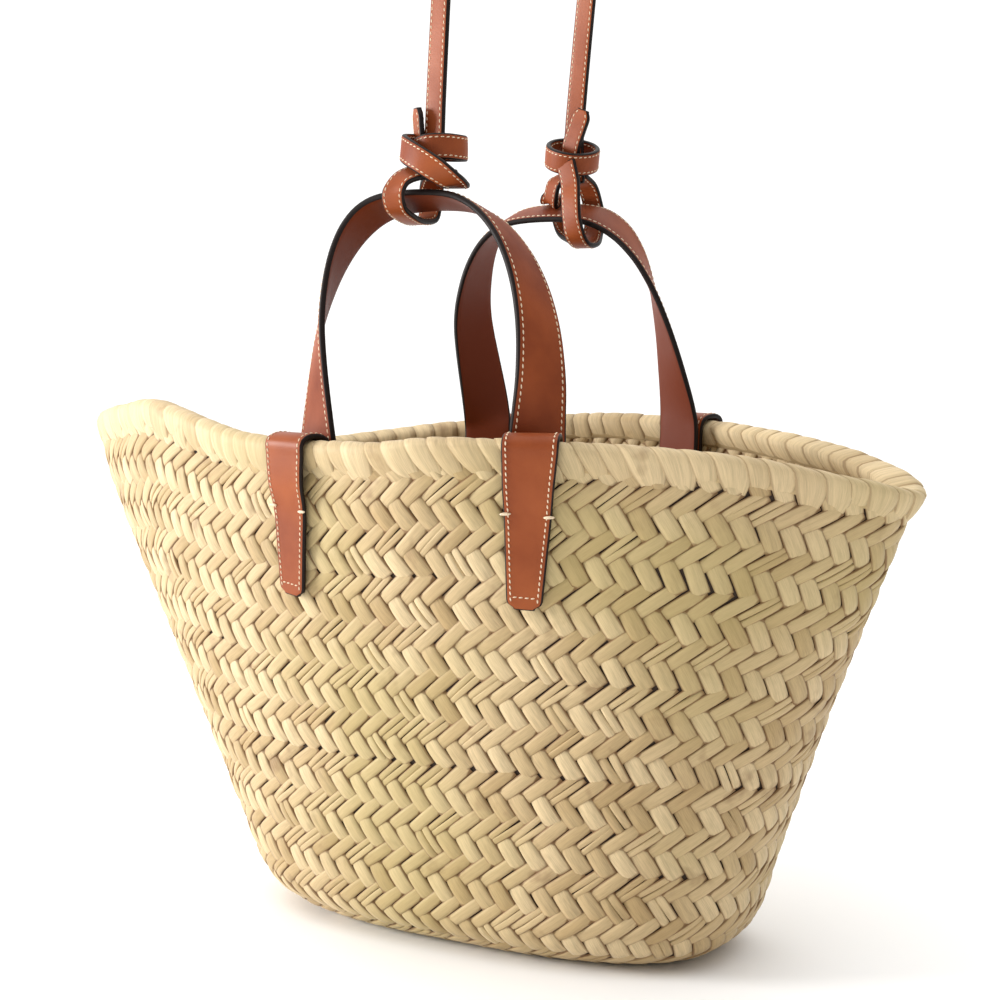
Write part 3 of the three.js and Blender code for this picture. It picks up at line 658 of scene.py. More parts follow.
def rim_wraps():
    """Leaf wrapped over the edge of the wall all round, each turn lying on the next."""
    rng = random.Random(11)
    turns = np.linspace(0, 2 * math.pi, 2881)
    ring = wall_point(turns, 1.0)
    share = np.concatenate([[0], np.cumsum(np.linalg.norm(np.diff(ring, axis=0), axis=1))])
    around = share[-1]
    ends = [0.0]
    while ends[-1] < around - 6:
        ends.append(ends[-1] + rng.uniform(7.4, 12.6))
    ends = np.array(ends) * around / ends[-1]
    count = len(ends) - 1
    reach = BORDER_LEG + CLEARANCE
    steps, across_steps = 19, 7
    table = smooth_weights(8, steps)
    pattern = patch_faces(steps, across_steps)[:, ::-1]
    points, faces, uv, shades = [], [], [], []
    total = 0
    for i in range(count):
        half = (ends[i + 1] - ends[i]) * 0.5 * rng.uniform(1.16, 1.3)
        slant = rng.uniform(4.5, 6.5)
        drop = rng.uniform(11.5, 14.5)
        inner_drop = rng.uniform(10.5, 12.0)
        t = np.concatenate([[-1.04], np.linspace(-0.96, 0.96, across_steps - 2), [1.04]])
        skirt = np.where(np.abs(t) > 1, 0.9, 0.0)
        crown = 0.45 * (1 - np.abs(t) ** 2.4) - 0.3 * t
        raise_ = rng.uniform(0.2, 0.5) + crown - skirt
        # slant of the leaf from its outer end, over the edge, to its inner end
        leans = np.array([1.0, 0.72, 0.36, 0.05, -0.1, -0.2, -0.6, -0.9]) * slant
        narrow = np.array([0.55, 0.86, 1.0, 1.0, 1.0, 1.0, 0.95, 0.6])
        control = np.zeros((8, across_steps, 3))
        low = 1 - drop / HEIGHT
        inner_low = 1 - inner_drop / HEIGHT
        shoulder = 1 - 1.6 / HEIGHT
        for k in range(8):
            place = 0.5 * (ends[i] + ends[i + 1]) + leans[k] + t * half * narrow[k]
            turn = np.interp(np.mod(place, around), share, turns)
            if k == 0:
                made = wall_point(turn, low, -(RELIEF * 0.2 + raise_ * 0.2 - 0.3))
            elif k == 1:
                made = wall_point(turn, 1 - 0.62 * drop / HEIGHT, -(reach + raise_ * 0.9))
            elif k == 2:
                made = wall_point(turn, shoulder, -(reach + RELIEF + raise_))
            elif k == 3:
                made = wall_point(turn, 1.0, -0.4)
                made[:, 2] += 0.35 + raise_
            elif k == 4:
                made = inner_point(turn, 1.0, -0.4)
                made[:, 2] += 0.35 + raise_
            elif k == 5:
                made = inner_point(turn, shoulder, reach + raise_)
            elif k == 6:
                made = inner_point(turn, 1 - 0.62 * inner_drop / HEIGHT, reach * 0.8 + raise_ * 0.8)
            else:
                made = inner_point(turn, inner_low, raise_ * 0.2 - 0.2)
            control[k] = made
        made = np.tensordot(table, control, axes=(1, 0))
        points.append(made.reshape(-1, 3))
        faces.append(pattern + total)
        lengths = np.linspace(0, 32, steps)
        flat = np.stack(np.meshgrid(lengths, t * half, indexing="ij"), -1)
        uv.append(flat.reshape(-1, 2) + (rng.uniform(0, 900), rng.uniform(0, 900)))
        shade = np.zeros((made.shape[0] * made.shape[1], 3))
        shade[:, 0] = rng.uniform(0.3, 1.0)
        # painted shade: the blue channel darkens each wrap toward brown along its edges, where it meets
        # the next wrap
        edge = np.clip((np.abs(np.tile(t, (steps, 1))) - 0.48) * 2.1, 0, 1)
        shade[:, 2] = edge.ravel() * 0.82
        shades.append(shade)
        total += steps * across_steps
    return new_piece(
        "rim_wraps",
        np.concatenate(points),
        np.concatenate(faces),
        "rim_border",
        [straw_leaf],
        uv=np.concatenate(uv),
        shades=np.concatenate(shades),
    )


def rim_core():
    """The rounded body of the border under its wraps."""
    turns = np.linspace(0, 2 * math.pi, 361)[:-1]
    reach = BORDER_LEG + CLEARANCE
    low = 1 - BORDER_HEIGHT / HEIGHT
    shoulder = 1 - 1.8 / HEIGHT
    rings = [
        wall_point(turns, low, 0.6),
        wall_point(turns, low, -reach * 0.6),
        wall_point(turns, 0.5 * (low + shoulder), -reach * 0.9),
        wall_point(turns, shoulder, -reach),
        wall_point(turns, 1 - 0.5 / HEIGHT, 0.3),
        inner_point(turns, 1 - 0.5 / HEIGHT, -0.3),
        inner_point(turns, shoulder, reach * 0.9),
        inner_point(turns, 0.5 * (low + shoulder), reach * 0.8),
        inner_point(turns, low, reach * 0.6),
        inner_point(turns, low, -0.6),
    ]
    sides, count = len(rings), len(turns)
    points = np.stack(rings, 1).reshape(-1, 3)
    faces = []
    for k in range(count):
        n = (k + 1) % count
        for r in range(sides):
            m = (r + 1) % sides
            faces.append((k * sides + r, n * sides + r, n * sides + m, k * sides + m))
    uv = np.stack(
        np.meshgrid(np.linspace(0, 900, count), np.linspace(0, 24, sides), indexing="ij"), -1
    ).reshape(-1, 2)
    shades = np.tile([0.35, 1.0, 0.6], (len(points), 1))
    return new_piece(
        "rim_core", points, faces, "rim_border", [straw_leaf], uv=uv, shades=shades
    )


# Leather
def curve_at(points, parts):
    """A smooth curve through points, centripetal as the solids' curves are."""
    p = [np.asarray(q, float) for q in points]
    count = len(p)
    made = []
    for share in parts:
        at = share * (count - 1)
        k = min(int(at), count - 2)
        w = at - k
        p0 = p[k - 1] if k > 0 else 2 * p[0] - p[1]
        p3 = p[k + 2] if k + 2 < count else 2 * p[-1] - p[-2]
        p1, p2 = p[k], p[k + 1]
        d0, d1, d2 = (max(np.linalg.norm(a - b) ** 0.5, 1e-4) for a, b in ((p0, p1), (p1, p2), (p2, p3)))
        m1 = ((p1 - p0) / d0 - (p2 - p0) / (d0 + d1) + (p2 - p1) / d1) * d1
        m2 = ((p2 - p1) / d1 - (p3 - p1) / (d1 + d2) + (p3 - p2) / d2) * d1
        c2 = -3 * p1 + 3 * p2 - 2 * m1 - m2
        c3 = 2 * p1 - 2 * p2 + m1 + m2
        made.append(p1 + m1 * w + c2 * w * w + c3 * w**3)
    return np.array(made)


def even_curve(points, count):
    """Points spread evenly along the smooth curve, and its length."""
    fine = np.linspace(0, 1, 60 * (len(points) - 1) + 1)
    line = curve_at(points, fine)
    share = np.concatenate([[0], np.cumsum(np.linalg.norm(np.diff(line, axis=0), axis=1))])
    parts = np.interp(np.linspace(0, share[-1], count), share, fine)
    return curve_at(points, parts), share[-1]


def strip_frames(at, across):
    """For each station of a strip: the way it runs, the way across it and the way out of it."""
    run = np.empty_like(at)
    run[1:-1] = at[2:] - at[:-2]
    run[0] = at[1] - at[0]
    run[-1] = at[-1] - at[-2]
    run /= np.linalg.norm(run, axis=1, keepdims=True)
    across = across - run * np.sum(across * run, axis=1, keepdims=True)
    across /= np.linalg.norm(across, axis=1, keepdims=True)
    return run, across, np.cross(run, across)


def section(thickness, crown, steps):
    """Half-profile table of a cut strip: share across, height, and how much of it is cut edge."""
    half = thickness / 2
    soft = half * 0.8
    rows = []
    for w in np.linspace(-1, 1, steps):
        rows.append((w, 0.0, half + crown * (1 - w * w), 0.0))
    for angle in (35, 70):
        a = math.radians(angle)
        rows.append((1, soft * math.sin(a), half - soft * (1 - math.cos(a)), 1.0))
    rows.append((1, soft, 0.0, 1.0))
    for angle in (70, 35):
        a = math.radians(angle)
        rows.append((1, soft * math.sin(a), -(half - soft * (1 - math.cos(a))), 1.0))
    for w in np.linspace(1, -1, steps):
        rows.append((w, 0.0, -half - crown * 0.3 * (1 - w * w), 0.0))
    for angle in (35, 70):
        a = math.radians(angle)
        rows.append((-1, soft * math.sin(a), -(half - soft * (1 - math.cos(a))), 1.0))
    rows.append((-1, soft, 0.0, 1.0))
    for angle in (70, 35):
        a = math.radians(angle)
        rows.append((-1, soft * math.sin(a), half - soft * (1 - math.cos(a)), 1.0))
    return np.array(rows)


class Leather:
    """Collects strips of leather into one piece."""

    def __init__(self):
        self.points, self.faces, self.uv, self.shades = [], [], [], []
        self.total = 0
        self.stitch_at, self.stitch_run, self.stitch_out = [], [], []

    def strip(self, at, across, widths, thickness, crown=0.12, steps=7, face=0, ring=False):
        """A strip of leather; face is the side of it that shows its grain, or 0 for both."""
        run, across, out = strip_frames(at, across)
        if ring:
            run = np.roll(at, -1, 0) - np.roll(at, 1, 0)
            run /= np.linalg.norm(run, axis=1, keepdims=True)
            across = across - run * np.sum(across * run, axis=1, keepdims=True)
            across /= np.linalg.norm(across, axis=1, keepdims=True)
            out = np.cross(run, across)
        rows = section(thickness, crown, steps)
        soft = thickness * 0.4
        widths = np.broadcast_to(widths, (len(at),))
        lengths = np.concatenate([[0], np.cumsum(np.linalg.norm(np.diff(at, axis=0), axis=1))])
        rings = []
        for i in range(len(at)):
            flat = widths[i] / 2 - soft
            side = rows[:, 0] * (flat) + np.sign(rows[:, 0]) * rows[:, 1]
            rings.append(at[i] + across[i] * side[:, None] + out[i] * rows[:, 2][:, None])
            self.uv.append(np.stack([np.full(len(rows), lengths[i]), side + rows[:, 2] * 0.01], -1))
            shade = np.zeros((len(rows), 3))
            shade[:, 0] = rows[:, 3]
            shade[:, 1] = (rows[:, 2] * face < 0) * 1.0
            self.shades.append(shade)
        sides = len(rows)
        made = np.concatenate(rings)
        count = len(at)
        faces = []
        last = count if ring else count - 1
        for r in range(last):
            n = (r + 1) % count
            for k in range(sides):
                m = (k + 1) % sides
                faces.append((r * sides + k, n * sides + k, n * sides + m, r * sides + m))
        faces = [tuple(reversed([v + self.total for v in f])) for f in faces]
        self.points.append(made)
        self.faces += faces
        self.total += len(made)
        if not ring:
            start = self.total - len(made)
            self.close_end(rings[0], start, -run[0], 0.0, soft * 0.8)
            self.close_end(rings[-1], start + len(made) - sides, run[-1], lengths[-1], soft * 0.8)
        return run, across, out

    def close_end(self, ring, start, way, length, bulge):
        """A softly rounded cut end over the ring of points that begins at start."""
        sides = len(ring)
        middle = ring.mean(0)
        inner = middle + (ring - middle) * 0.94 + way * bulge
        centre = middle + way * bulge * 1.05
        first = self.total
        self.points.append(np.concatenate([inner, [centre]]))
        for k in range(sides):
            m = (k + 1) % sides
            a, b = start + k, start + m
            c, d = first + m, first + k
            self.faces.append((a, b, c, d))
            self.faces.append((first + k, first + m, first + sides))
        self.uv.append(np.tile([length, 0.0], (sides + 1, 1)))
        self.shades.append(np.tile([1.0, 0.0, 0.0], (sides + 1, 1)))
        self.total += sides + 1

    def stitches(self, at, across, out, widths, side, face, inset, pitch, lift, skip=(0, 0)):
        """Places for a row of stitches along one edge of a strip, on one of its faces."""
        line = at + across * (side * (widths / 2 - inset))[:, None] + out * (face * lift)
        share = np.concatenate([[0], np.cumsum(np.linalg.norm(np.diff(line, axis=0), axis=1))])
        places = np.arange(skip[0] + pitch / 2, share[-1] - skip[1], pitch)
        self.add_stitches(line, share, places, out * face)

    def add_stitches(self, line, share, places, outs):
        ahead = np.stack([np.interp(places + 0.4, share, line[:, k]) for k in range(3)], -1)
        behind = np.stack([np.interp(places - 0.4, share, line[:, k]) for k in range(3)], -1)
        normal = np.stack([np.interp(places, share, outs[:, k]) for k in range(3)], -1)
        self.stitch_at.append((ahead + behind) / 2)
        self.stitch_run.append(ahead - behind)
        self.stitch_out.append(normal)

    def piece(self, name, slot, node, material):
        made = new_piece(
            name,
            np.concatenate(self.points),
            self.faces,
            node,
            [material],
            uv=np.concatenate(self.uv),
            shades=np.concatenate(self.shades),
        )
        check = bmesh.new()
        check.from_mesh(made.data)
        bmesh.ops.recalc_face_normals(check, faces=check.faces)
        check.to_mesh(made.data)
        check.free()
        return made

    def stitch_piece(self, name, node, size):
        at = np.concatenate(self.stitch_at)
        return stitched(
            name, at, np.concatenate(self.stitch_run), np.concatenate(self.stitch_out), node, size
        )


def beside_wall(seat, x, back, drop, stand, width, inside):
    """A point beside the wall for the middle of a strip that lies flat along it."""
    level = 1 - drop / HEIGHT
    found = []
    for part in (-0.5, -0.25, 0, 0.25, 0.5):
        turn = turn_at(x + part * width, back, level)
        found.append(inner_point(turn, level) if inside else wall_point(turn, level))
    reaches = [float(np.dot(p, seat["out"])) for p in found]
    reach = min(reaches) - stand if inside else max(reaches) + stand
    return found[2] + seat["out"] * (reach - reaches[2])


def handle_line(back):
    """Stations of a handle: its middle line and the way across it."""
    arch = BACK_ARCH if back else FRONT_ARCH
    way = 1 if back else -1
    top = arch_top(back)
    leg_inset = WALL + BORDER_LEG + 3 * CLEARANCE + TAB_GAP / 2 + TAB_THICKNESS + HANDLE_THICKNESS / 2

    def leg_point(seat, leg, drop):
        lift = HANDLE_WIDTH / 2 * math.sin(math.radians(leg["twist"])) + LEG_PLAY
        stand = leg_inset - WALL + lift * (1 - drop / HANDLE_INNER_LENGTH)
        return beside_wall(seat, seat["x"], back, drop, stand, HANDLE_WIDTH, True)

    halves = {}
    for sign in (-1, 1):
        seat = leg_seat(sign, back)
        leg = LEGS["back" if back else "front", sign]
        line = [leg_point(seat, leg, drop * HANDLE_INNER_LENGTH) for drop in (1, 0.5, 0)]
        foot = line[2]
        for i in range(1, 7):
            angle = i / 7 * math.pi / 2
            up = math.sin(angle) ** (2 / leg["fullness"])
            inward = 1 - math.cos(angle) ** (2 / leg["fullness"])
            spread = sign * leg["bulge"] * math.sin(math.pi * up)
            line.append(
                np.array(
                    [
                        foot[0] + (top[0] - foot[0]) * inward + spread,
                        foot[1] + (top[1] - foot[1]) * up**1.5,
                        foot[2] + (top[2] - foot[2]) * up,
                    ]
                )
            )
        halves[sign] = (seat, foot, line, leg)
    points = halves[-1][2] + [top] + halves[1][2][::-1]
    count = 141
    at, length = even_curve(points, count)
    tilt = math.radians(arch["tilt"])
    outer = np.array([0, way * math.cos(tilt), math.sin(tilt)]) * way
    across = []
    for i in range(count):
        sign = -1 if i < count / 2 else 1
        seat, foot, _, leg = halves[sign]
        above = at[i][2] - foot[2]
        if above < 0:
            turned = leg["twist"] * min(max(1 + above / HANDLE_INNER_LENGTH, 0), 1)
        else:
            share = min(max(above / arch["rise"], 0), 1) ** leg["turning"]
            turned = leg["twist"] + (90 - leg["twist"]) * share
        turned = math.radians(turned)
        across.append(seat["along"] * sign * math.cos(turned) + outer * math.sin(turned))
    return at, np.array(across), length


def make_handle(back):
    name = "back_handle" if back else "front_handle"
    at, across, length = handle_line(back)
    leather = Leather()
    # the face with the stitches looks away from the hand
    face = 1 if strip_frames(at, across)[2][len(at) // 2][2] > 0 else -1
    run, across, out = leather.strip(
        at, across, HANDLE_WIDTH, HANDLE_THICKNESS, crown=0.25, steps=9, face=face
    )
    widths = np.full(len(at), HANDLE_WIDTH)
    lift = HANDLE_THICKNESS / 2 + 0.08
    for side in (-1, 1):
        leather.stitches(at, across, out, widths, side, face, 2.1, 2.55, lift, skip=(2, 2))
    made = leather.piece(name + "_leather", "handle_leather", name, handle_hide)
    stitches = leather.stitch_piece(name + "_stitches", name, (1.75, 0.62))
    return made, stitches


def tab_line(side, back):
    seat = leg_seat(side, back)
    half = TAB_THICKNESS / 2
    outside = RELIEF + CLEARANCE + half
    border = BORDER_LEG + 2 * CLEARANCE + RELIEF + half

    def on_wall(drop, stand, inside):
        x = seat["x"] + LEGS["back" if back else "front", side]["slant"] * max(drop, 0)
        return beside_wall(seat, x, back, drop, stand, TAB_TOP_WIDTH, inside)

    crown = half + CLEARANCE + 1
    sewn = TAB_SEWN_DEPTH
    points = [
        on_wall(TAB_OUTER_LENGTH, outside, False),
        on_wall((sewn + TAB_OUTER_LENGTH) / 2, outside, False),
        on_wall(sewn, outside + 0.4, False),
        on_wall(BORDER_HEIGHT + (sewn - BORDER_HEIGHT) * 0.4, border + TAB_PUFF * 0.45, False),
        on_wall(BORDER_HEIGHT * 0.55, border + TAB_PUFF, False),
        on_wall(-crown * 0.3, border + TAB_PUFF * 0.72, False),
        on_wall(-crown - TAB_PUFF * 0.25, (border + TAB_PUFF) * 0.2, False),
        on_wall(-crown * 0.4, border - RELIEF + TAB_GAP / 2, True),
        on_wall(BORDER_HEIGHT, border - RELIEF + TAB_GAP / 2, True),
        on_wall(BORDER_HEIGHT + (TAB_INNER_LENGTH - BORDER_HEIGHT) * 0.45, half + TAB_GAP, True),
        on_wall(TAB_INNER_LENGTH, half + TAB_GAP, True),
    ]
    at, length = even_curve(points, 81)
    return seat, at, length


def make_tab(side, back):
    node = f"{'back' if back else 'front'}_{'right' if side > 0 else 'left'}_tab"
    seat, at, length = tab_line(side, back)
    share = np.linspace(0, 1, len(at))
    taper = TAB_OUTER_LENGTH / length
    widths = TAB_END_WIDTH + (TAB_TOP_WIDTH - TAB_END_WIDTH) * np.clip(share / taper, 0, 1)
    # rounded corners at the outer end
    from_end = share * length
    corner = 3.2
    near = np.clip(1 - from_end / corner, 0, 1)
    widths = widths - 2 * corner * 0.8 * (1 - np.sqrt(np.clip(1 - near**2, 0, 1)))
    across = np.tile(seat["along"], (len(at), 1))
    leather = Leather()
    face = 1 if np.dot(strip_frames(at, across)[2][8], seat["out"]) > 0 else -1
    run, across, out = leather.strip(at, across, widths, TAB_THICKNESS, crown=0.3, steps=9, face=face)
    lift = TAB_THICKNESS / 2 + 0.1
    for edge in (-1, 1):
        leather.stitches(at, across, out, widths, edge, face, 1.9, 2.35, lift, skip=(3.4, 1))
    # across the outer end
    k = int(np.searchsorted(from_end, 3.0))
    spread = np.linspace(-1, 1, 9)[:, None] * (widths[k] / 2 - 2.6)
    line = at[k] + across[k] * spread + out[k] * face * lift
    gone = np.concatenate([[0], np.cumsum(np.linalg.norm(np.diff(line, axis=0), axis=1))])
    leather.add_stitches(line, gone, np.arange(1.0, gone[-1], 2.35), np.tile(out[k] * face, (9, 1)))
    made = leather.piece(node + "_leather", "tab_leather", node, tab_hide)
    stitches = leather.stitch_piece(node + "_stitches", node, (1.6, 0.6))
    # two short bars of white thread that hold the tab to the basket
    k = int(np.searchsorted(from_end, TAB_OUTER_LENGTH - TAB_SEWN_DEPTH))
    bars = Leather()
    for edge in (-1, 1):
        start = at[k] + across[k] * edge * (widths[k] / 2 - 2.4) + out[k] * face * (lift + 0.25)
        bars.stitch_at.append((start + across[k] * edge * 1.5)[None])
        bars.stitch_run.append(across[k][None])
        bars.stitch_out.append((out[k] * face)[None])
    thread_bars = bars.stitch_piece(node + "_thread_bars", node, (4.6, 1.35))
    return made, stitches, thread_bars


def knot_rows(top, rows):
    rows = np.array(rows, float)
    at = rows[:, :3] * KNOT_UNIT + top
    across = rows[:, 3:] / np.linalg.norm(rows[:, 3:], axis=1, keepdims=True)
    return at, across


def smooth_strip(at, across, steps):
    parts = np.linspace(0, 1, steps + 1)
    line = curve_at(at, parts)
    spans = len(at) - 1
    place = parts * spans
    k = np.minimum(place.astype(int), spans - 1)
    part = (place - k)[:, None]
    across = across[k] * (1 - part) + across[k + 1] * part
    return line, across


def make_strap():
    """The shoulder strap with its two knots."""
    leather = Leather()
    lift = STRAP_THICKNESS / 2 + 0.04

    def ribbon(at, across, steps, tail=False, stitched_faces=(-1, 1)):
        line, over = smooth_strip(at, across, steps)
        widths = np.full(len(line), STRAP_WIDTH)
        if tail:
            share = np.linspace(0, 1, len(line))
            widths = widths - STRAP_WIDTH * 0.36 * np.clip((share - 0.86) / 0.14, 0, 1) ** 2
        _, over, out = leather.strip(line, over, widths, STRAP_THICKNESS, crown=0.1, steps=5)
        for face in stitched_faces:
            for side in (-1, 1):
                leather.stitches(line, over, out, widths, side, face, 1.5, 2.3, lift, skip=(1, 1))

    for knot, top in ((FRONT_KNOT, arch_top(False)), (BACK_KNOT, arch_top(True))):
        for name, rows in knot.items():
            if name == "run":
                continue
            at, across = knot_rows(top, rows)
            ribbon(at, across, (len(at) - 1) * 7, tail=name == "tail")
    # ring of the back knot
    top = arch_top(True)
    middle = np.array(BACK_RING["middle"]) * KNOT_UNIT + top
    slope_right, slope_back = BACK_RING["slopes"]
    up = np.array([-slope_right, -slope_back, 1.0])
    up /= np.linalg.norm(up)
    turns = np.linspace(0, 2 * math.pi, 57)[:-1]
    radius = BACK_RING["radius"] * KNOT_UNIT
    x, y = np.cos(turns) * radius, np.sin(turns) * radius
    at = np.stack([x, y, x * slope_right + y * slope_back], -1) + middle
    over = np.tile(up, (len(at), 1))
    leather.strip(at, over, STRAP_WIDTH, STRAP_THICKNESS, crown=0.1, steps=5, ring=True)
    closed = np.concatenate([at, at[:1]])
    run, over, out = strip_frames(closed, np.tile(up, (len(closed), 1)))
    widths = np.full(len(closed), STRAP_WIDTH)
    for side in (-1, 1):
        for face in (-1, 1):
            leather.stitches(closed, over, out, widths, side, face, 1.5, 2.3, lift)
    # the long run from knot to knot
    front_at, front_over = knot_rows(arch_top(False), FRONT_KNOT["run"])
    back_at, back_over = knot_rows(arch_top(True), BACK_KNOT["run"])
    turn = math.radians(STRAP_TOP["turn"])
    along = np.array([math.cos(turn), math.sin(turn), 0.0])
    across = np.array([-along[1], along[0], 0.0])
    radius = STRAP_TOP["span"] / 2
    crown = []
    for i in range(7):
        a = math.pi * (1 - i / 6)
        rise = (math.sin(a) - 1) * radius - STRAP_THICKNESS / 2
        crown.append(HANG + along * math.cos(a) * radius + np.array([0, 0, rise]))
    at = np.concatenate([front_at, crown, back_at[::-1]])
    over = np.concatenate([front_over, np.tile(across, (7, 1)), back_over[::-1]])
    ribbon(at, over, (len(at) - 1) * 16)
    made = leather.piece("shoulder_strap_leather", "strap_leather", "shoulder_strap", strap_hide)
    stitches = leather.stitch_piece(
        "shoulder_strap_stitches", "shoulder_strap", (1.5, 0.5)
    )
    return made, stitches


# Stitches
def stitch_tree():
    """Places one small rounded thread on every point, along its run and standing out of it."""
    tree = bpy.data.node_groups.new("thread_stitches", "GeometryNodeTree")
    face = tree.interface
    face.new_socket("Places", in_out="INPUT", socket_type="NodeSocketGeometry")
    for name, value in (("Length", 0.0017), ("Thickness", 0.0006)):
        socket = face.new_socket(name, in_out="INPUT", socket_type="NodeSocketFloat")
        socket.default_value = value
    seed = face.new_socket("Seed", in_out="INPUT", socket_type="NodeSocketInt")
    seed.default_value = 7
    face.new_socket("Thread", in_out="INPUT", socket_type="NodeSocketMaterial")
    face.new_socket("Stitches", in_out="OUTPUT", socket_type="NodeSocketGeometry")
    nodes, links = tree.nodes, tree.links
    given = nodes.new("NodeGroupInput")
    result = nodes.new("NodeGroupOutput")
    ball = nodes.new("GeometryNodeMeshUVSphere")
    ball.inputs["Segments"].default_value = 8
    ball.inputs["Rings"].default_value = 5
    ball.inputs["Radius"].default_value = 0.5
    size = nodes.new("ShaderNodeCombineXYZ")
    links.new(given.outputs["Thickness"], size.inputs["X"])
    links.new(given.outputs["Thickness"], size.inputs["Y"])
    links.new(given.outputs["Length"], size.inputs["Z"])
    shaped = nodes.new("GeometryNodeTransform")
    links.new(ball.outputs["Mesh"], shaped.inputs["Geometry"])
    links.new(size.outputs["Vector"], shaped.inputs["Scale"])
    run = nodes.new("GeometryNodeInputNamedAttribute")
    run.data_type = "FLOAT_VECTOR"
    run.inputs["Name"].default_value = "run"
    out = nodes.new("GeometryNodeInputNamedAttribute")
    out.data_type = "FLOAT_VECTOR"
    out.inputs["Name"].default_value = "out"
    axes = nodes.new("FunctionNodeAxesToRotation")
    axes.primary_axis = "Z"
    axes.secondary_axis = "X"
    links.new(run.outputs["Attribute"], axes.inputs["Primary Axis"])
    links.new(out.outputs["Attribute"], axes.inputs["Secondary Axis"])
    wobble = nodes.new("FunctionNodeRandomValue")
    wobble.data_type = "FLOAT_VECTOR"
    wobble.inputs[0].default_value = (0.09, -0.03, -0.03)
    wobble.inputs[1].default_value = (0.2, 0.03, 0.03)
    links.new(given.outputs["Seed"], wobble.inputs["Seed"])
    lean = nodes.new("FunctionNodeEulerToRotation")
    links.new(wobble.outputs["Value"], lean.inputs["Euler"])
    turned = nodes.new("FunctionNodeRotateRotation")
    turned.rotation_space = "LOCAL"
    links.new(axes.outputs["Rotation"], turned.inputs["Rotation"])
    links.new(lean.outputs["Rotation"], turned.inputs["Rotate By"])
    each = nodes.new("GeometryNodeInstanceOnPoints")
    links.new(given.outputs["Places"], each.inputs["Points"])
    links.new(shaped.outputs["Geometry"], each.inputs["Instance"])
    links.new(turned.outputs["Rotation"], each.inputs["Rotation"])
    real = nodes.new("GeometryNodeRealizeInstances")
    links.new(each.outputs["Instances"], real.inputs["Geometry"])
    smooth = nodes.new("GeometryNodeSetShadeSmooth")
    links.new(real.outputs["Geometry"], smooth.inputs["Geometry"])
    coat = nodes.new("GeometryNodeSetMaterial")
    links.new(smooth.outputs["Geometry"], coat.inputs["Geometry"])
    links.new(given.outputs["Thread"], coat.inputs["Material"])
    links.new(coat.outputs["Geometry"], result.inputs["Stitches"])
    return tree


def stitched(name, at, run, out, node, size):
    mesh = bpy.data.meshes.new(name + "_places")
    mesh.from_pydata(placed(at).tolist(), [], [])
    for label, values in (("run", run), ("out", out)):
        layer = mesh.attributes.new(label, "FLOAT_VECTOR", "POINT")
        layer.data.foreach_set("vector", np.asarray(values, np.float32).ravel())
    places = bpy.data.objects.new(name + "_places", mesh)
    bpy.context.scene.collection.objects.link(places)
    modifier = places.modifiers.new("stitches", "NODES")
    modifier.node_group = stitches_tree
    ids = {item.name: item.identifier for item in stitches_tree.interface.items_tree}
    modifier[ids["Length"]] = size[0] / 1000
    modifier[ids["Thickness"]] = size[1] / 1000
    modifier[ids["Seed"]] = 7
    modifier[ids["Thread"]] = thread
    graph = bpy.context.evaluated_depsgraph_get()
    made = bpy.data.meshes.new_from_object(places.evaluated_get(graph), depsgraph=graph)
    made.name = name
    piece = bpy.data.objects.new(name, made)
    bpy.context.scene.collection.objects.link(piece)
    bpy.data.objects.remove(places)
    dress(piece, node)
    return piece


# Materials
def linear(rgb):
    made = []
    for value in rgb:
        c = value / 255
        made.append(c / 12.92 if c <= 0.04045 else ((c + 0.055) / 1.055) ** 2.4)
    return (*made, 1.0)


def wire(tree, source, target):
    tree.links.new(source, target)


def ramp(tree, source, stops):
    node = tree.nodes.new("ShaderNodeValToRGB")
    while len(node.color_ramp.elements) < len(stops):
        node.color_ramp.elements.new(0.5)
    for element, (at, colour) in zip(node.color_ramp.elements, stops):
        element.position = at
        element.color = colour
    wire(tree, source, node.inputs["Fac"])
    return node.outputs["Color"]


def grey(value):
    return (value, value, value, 1.0)


def mix(tree, factor, a, b, kind="MIX"):
    node = tree.nodes.new("ShaderNodeMix")
    node.data_type = "RGBA"
    node.blend_type = kind
    for socket, value in ((node.inputs[0], factor), (node.inputs[6], a), (node.inputs[7], b)):
        if hasattr(value, "is_linked"):
            wire(tree, value, socket)
        else:
            socket.default_value = value
    return node.outputs[2]


def maths(tree, kind, a, b=0.0, clamp=False):
    node = tree.nodes.new("ShaderNodeMath")
    node.operation = kind
    node.use_clamp = clamp
    for socket, value in ((node.inputs[0], a), (node.inputs[1], b)):
        if hasattr(value, "is_linked"):
            wire(tree, value, socket)
        else:
            socket.default_value = value
    return node.outputs[0]


def noise(tree, vector, scale, detail=3.0, rough=0.55, distortion=0.0):
    node = tree.nodes.new("ShaderNodeTexNoise")
    node.inputs["Scale"].default_value = scale
    node.inputs["Detail"].default_value = detail
    node.inputs["Roughness"].default_value = rough
    node.inputs["Distortion"].default_value = distortion
    wire(tree, vector, node.inputs["Vector"])
    return node.outputs["Fac"]


def new_material(name):
    material = bpy.data.materials.new(name)
    material.use_nodes = True
    tree = material.node_tree
    return material, tree, tree.nodes["Principled BSDF"]


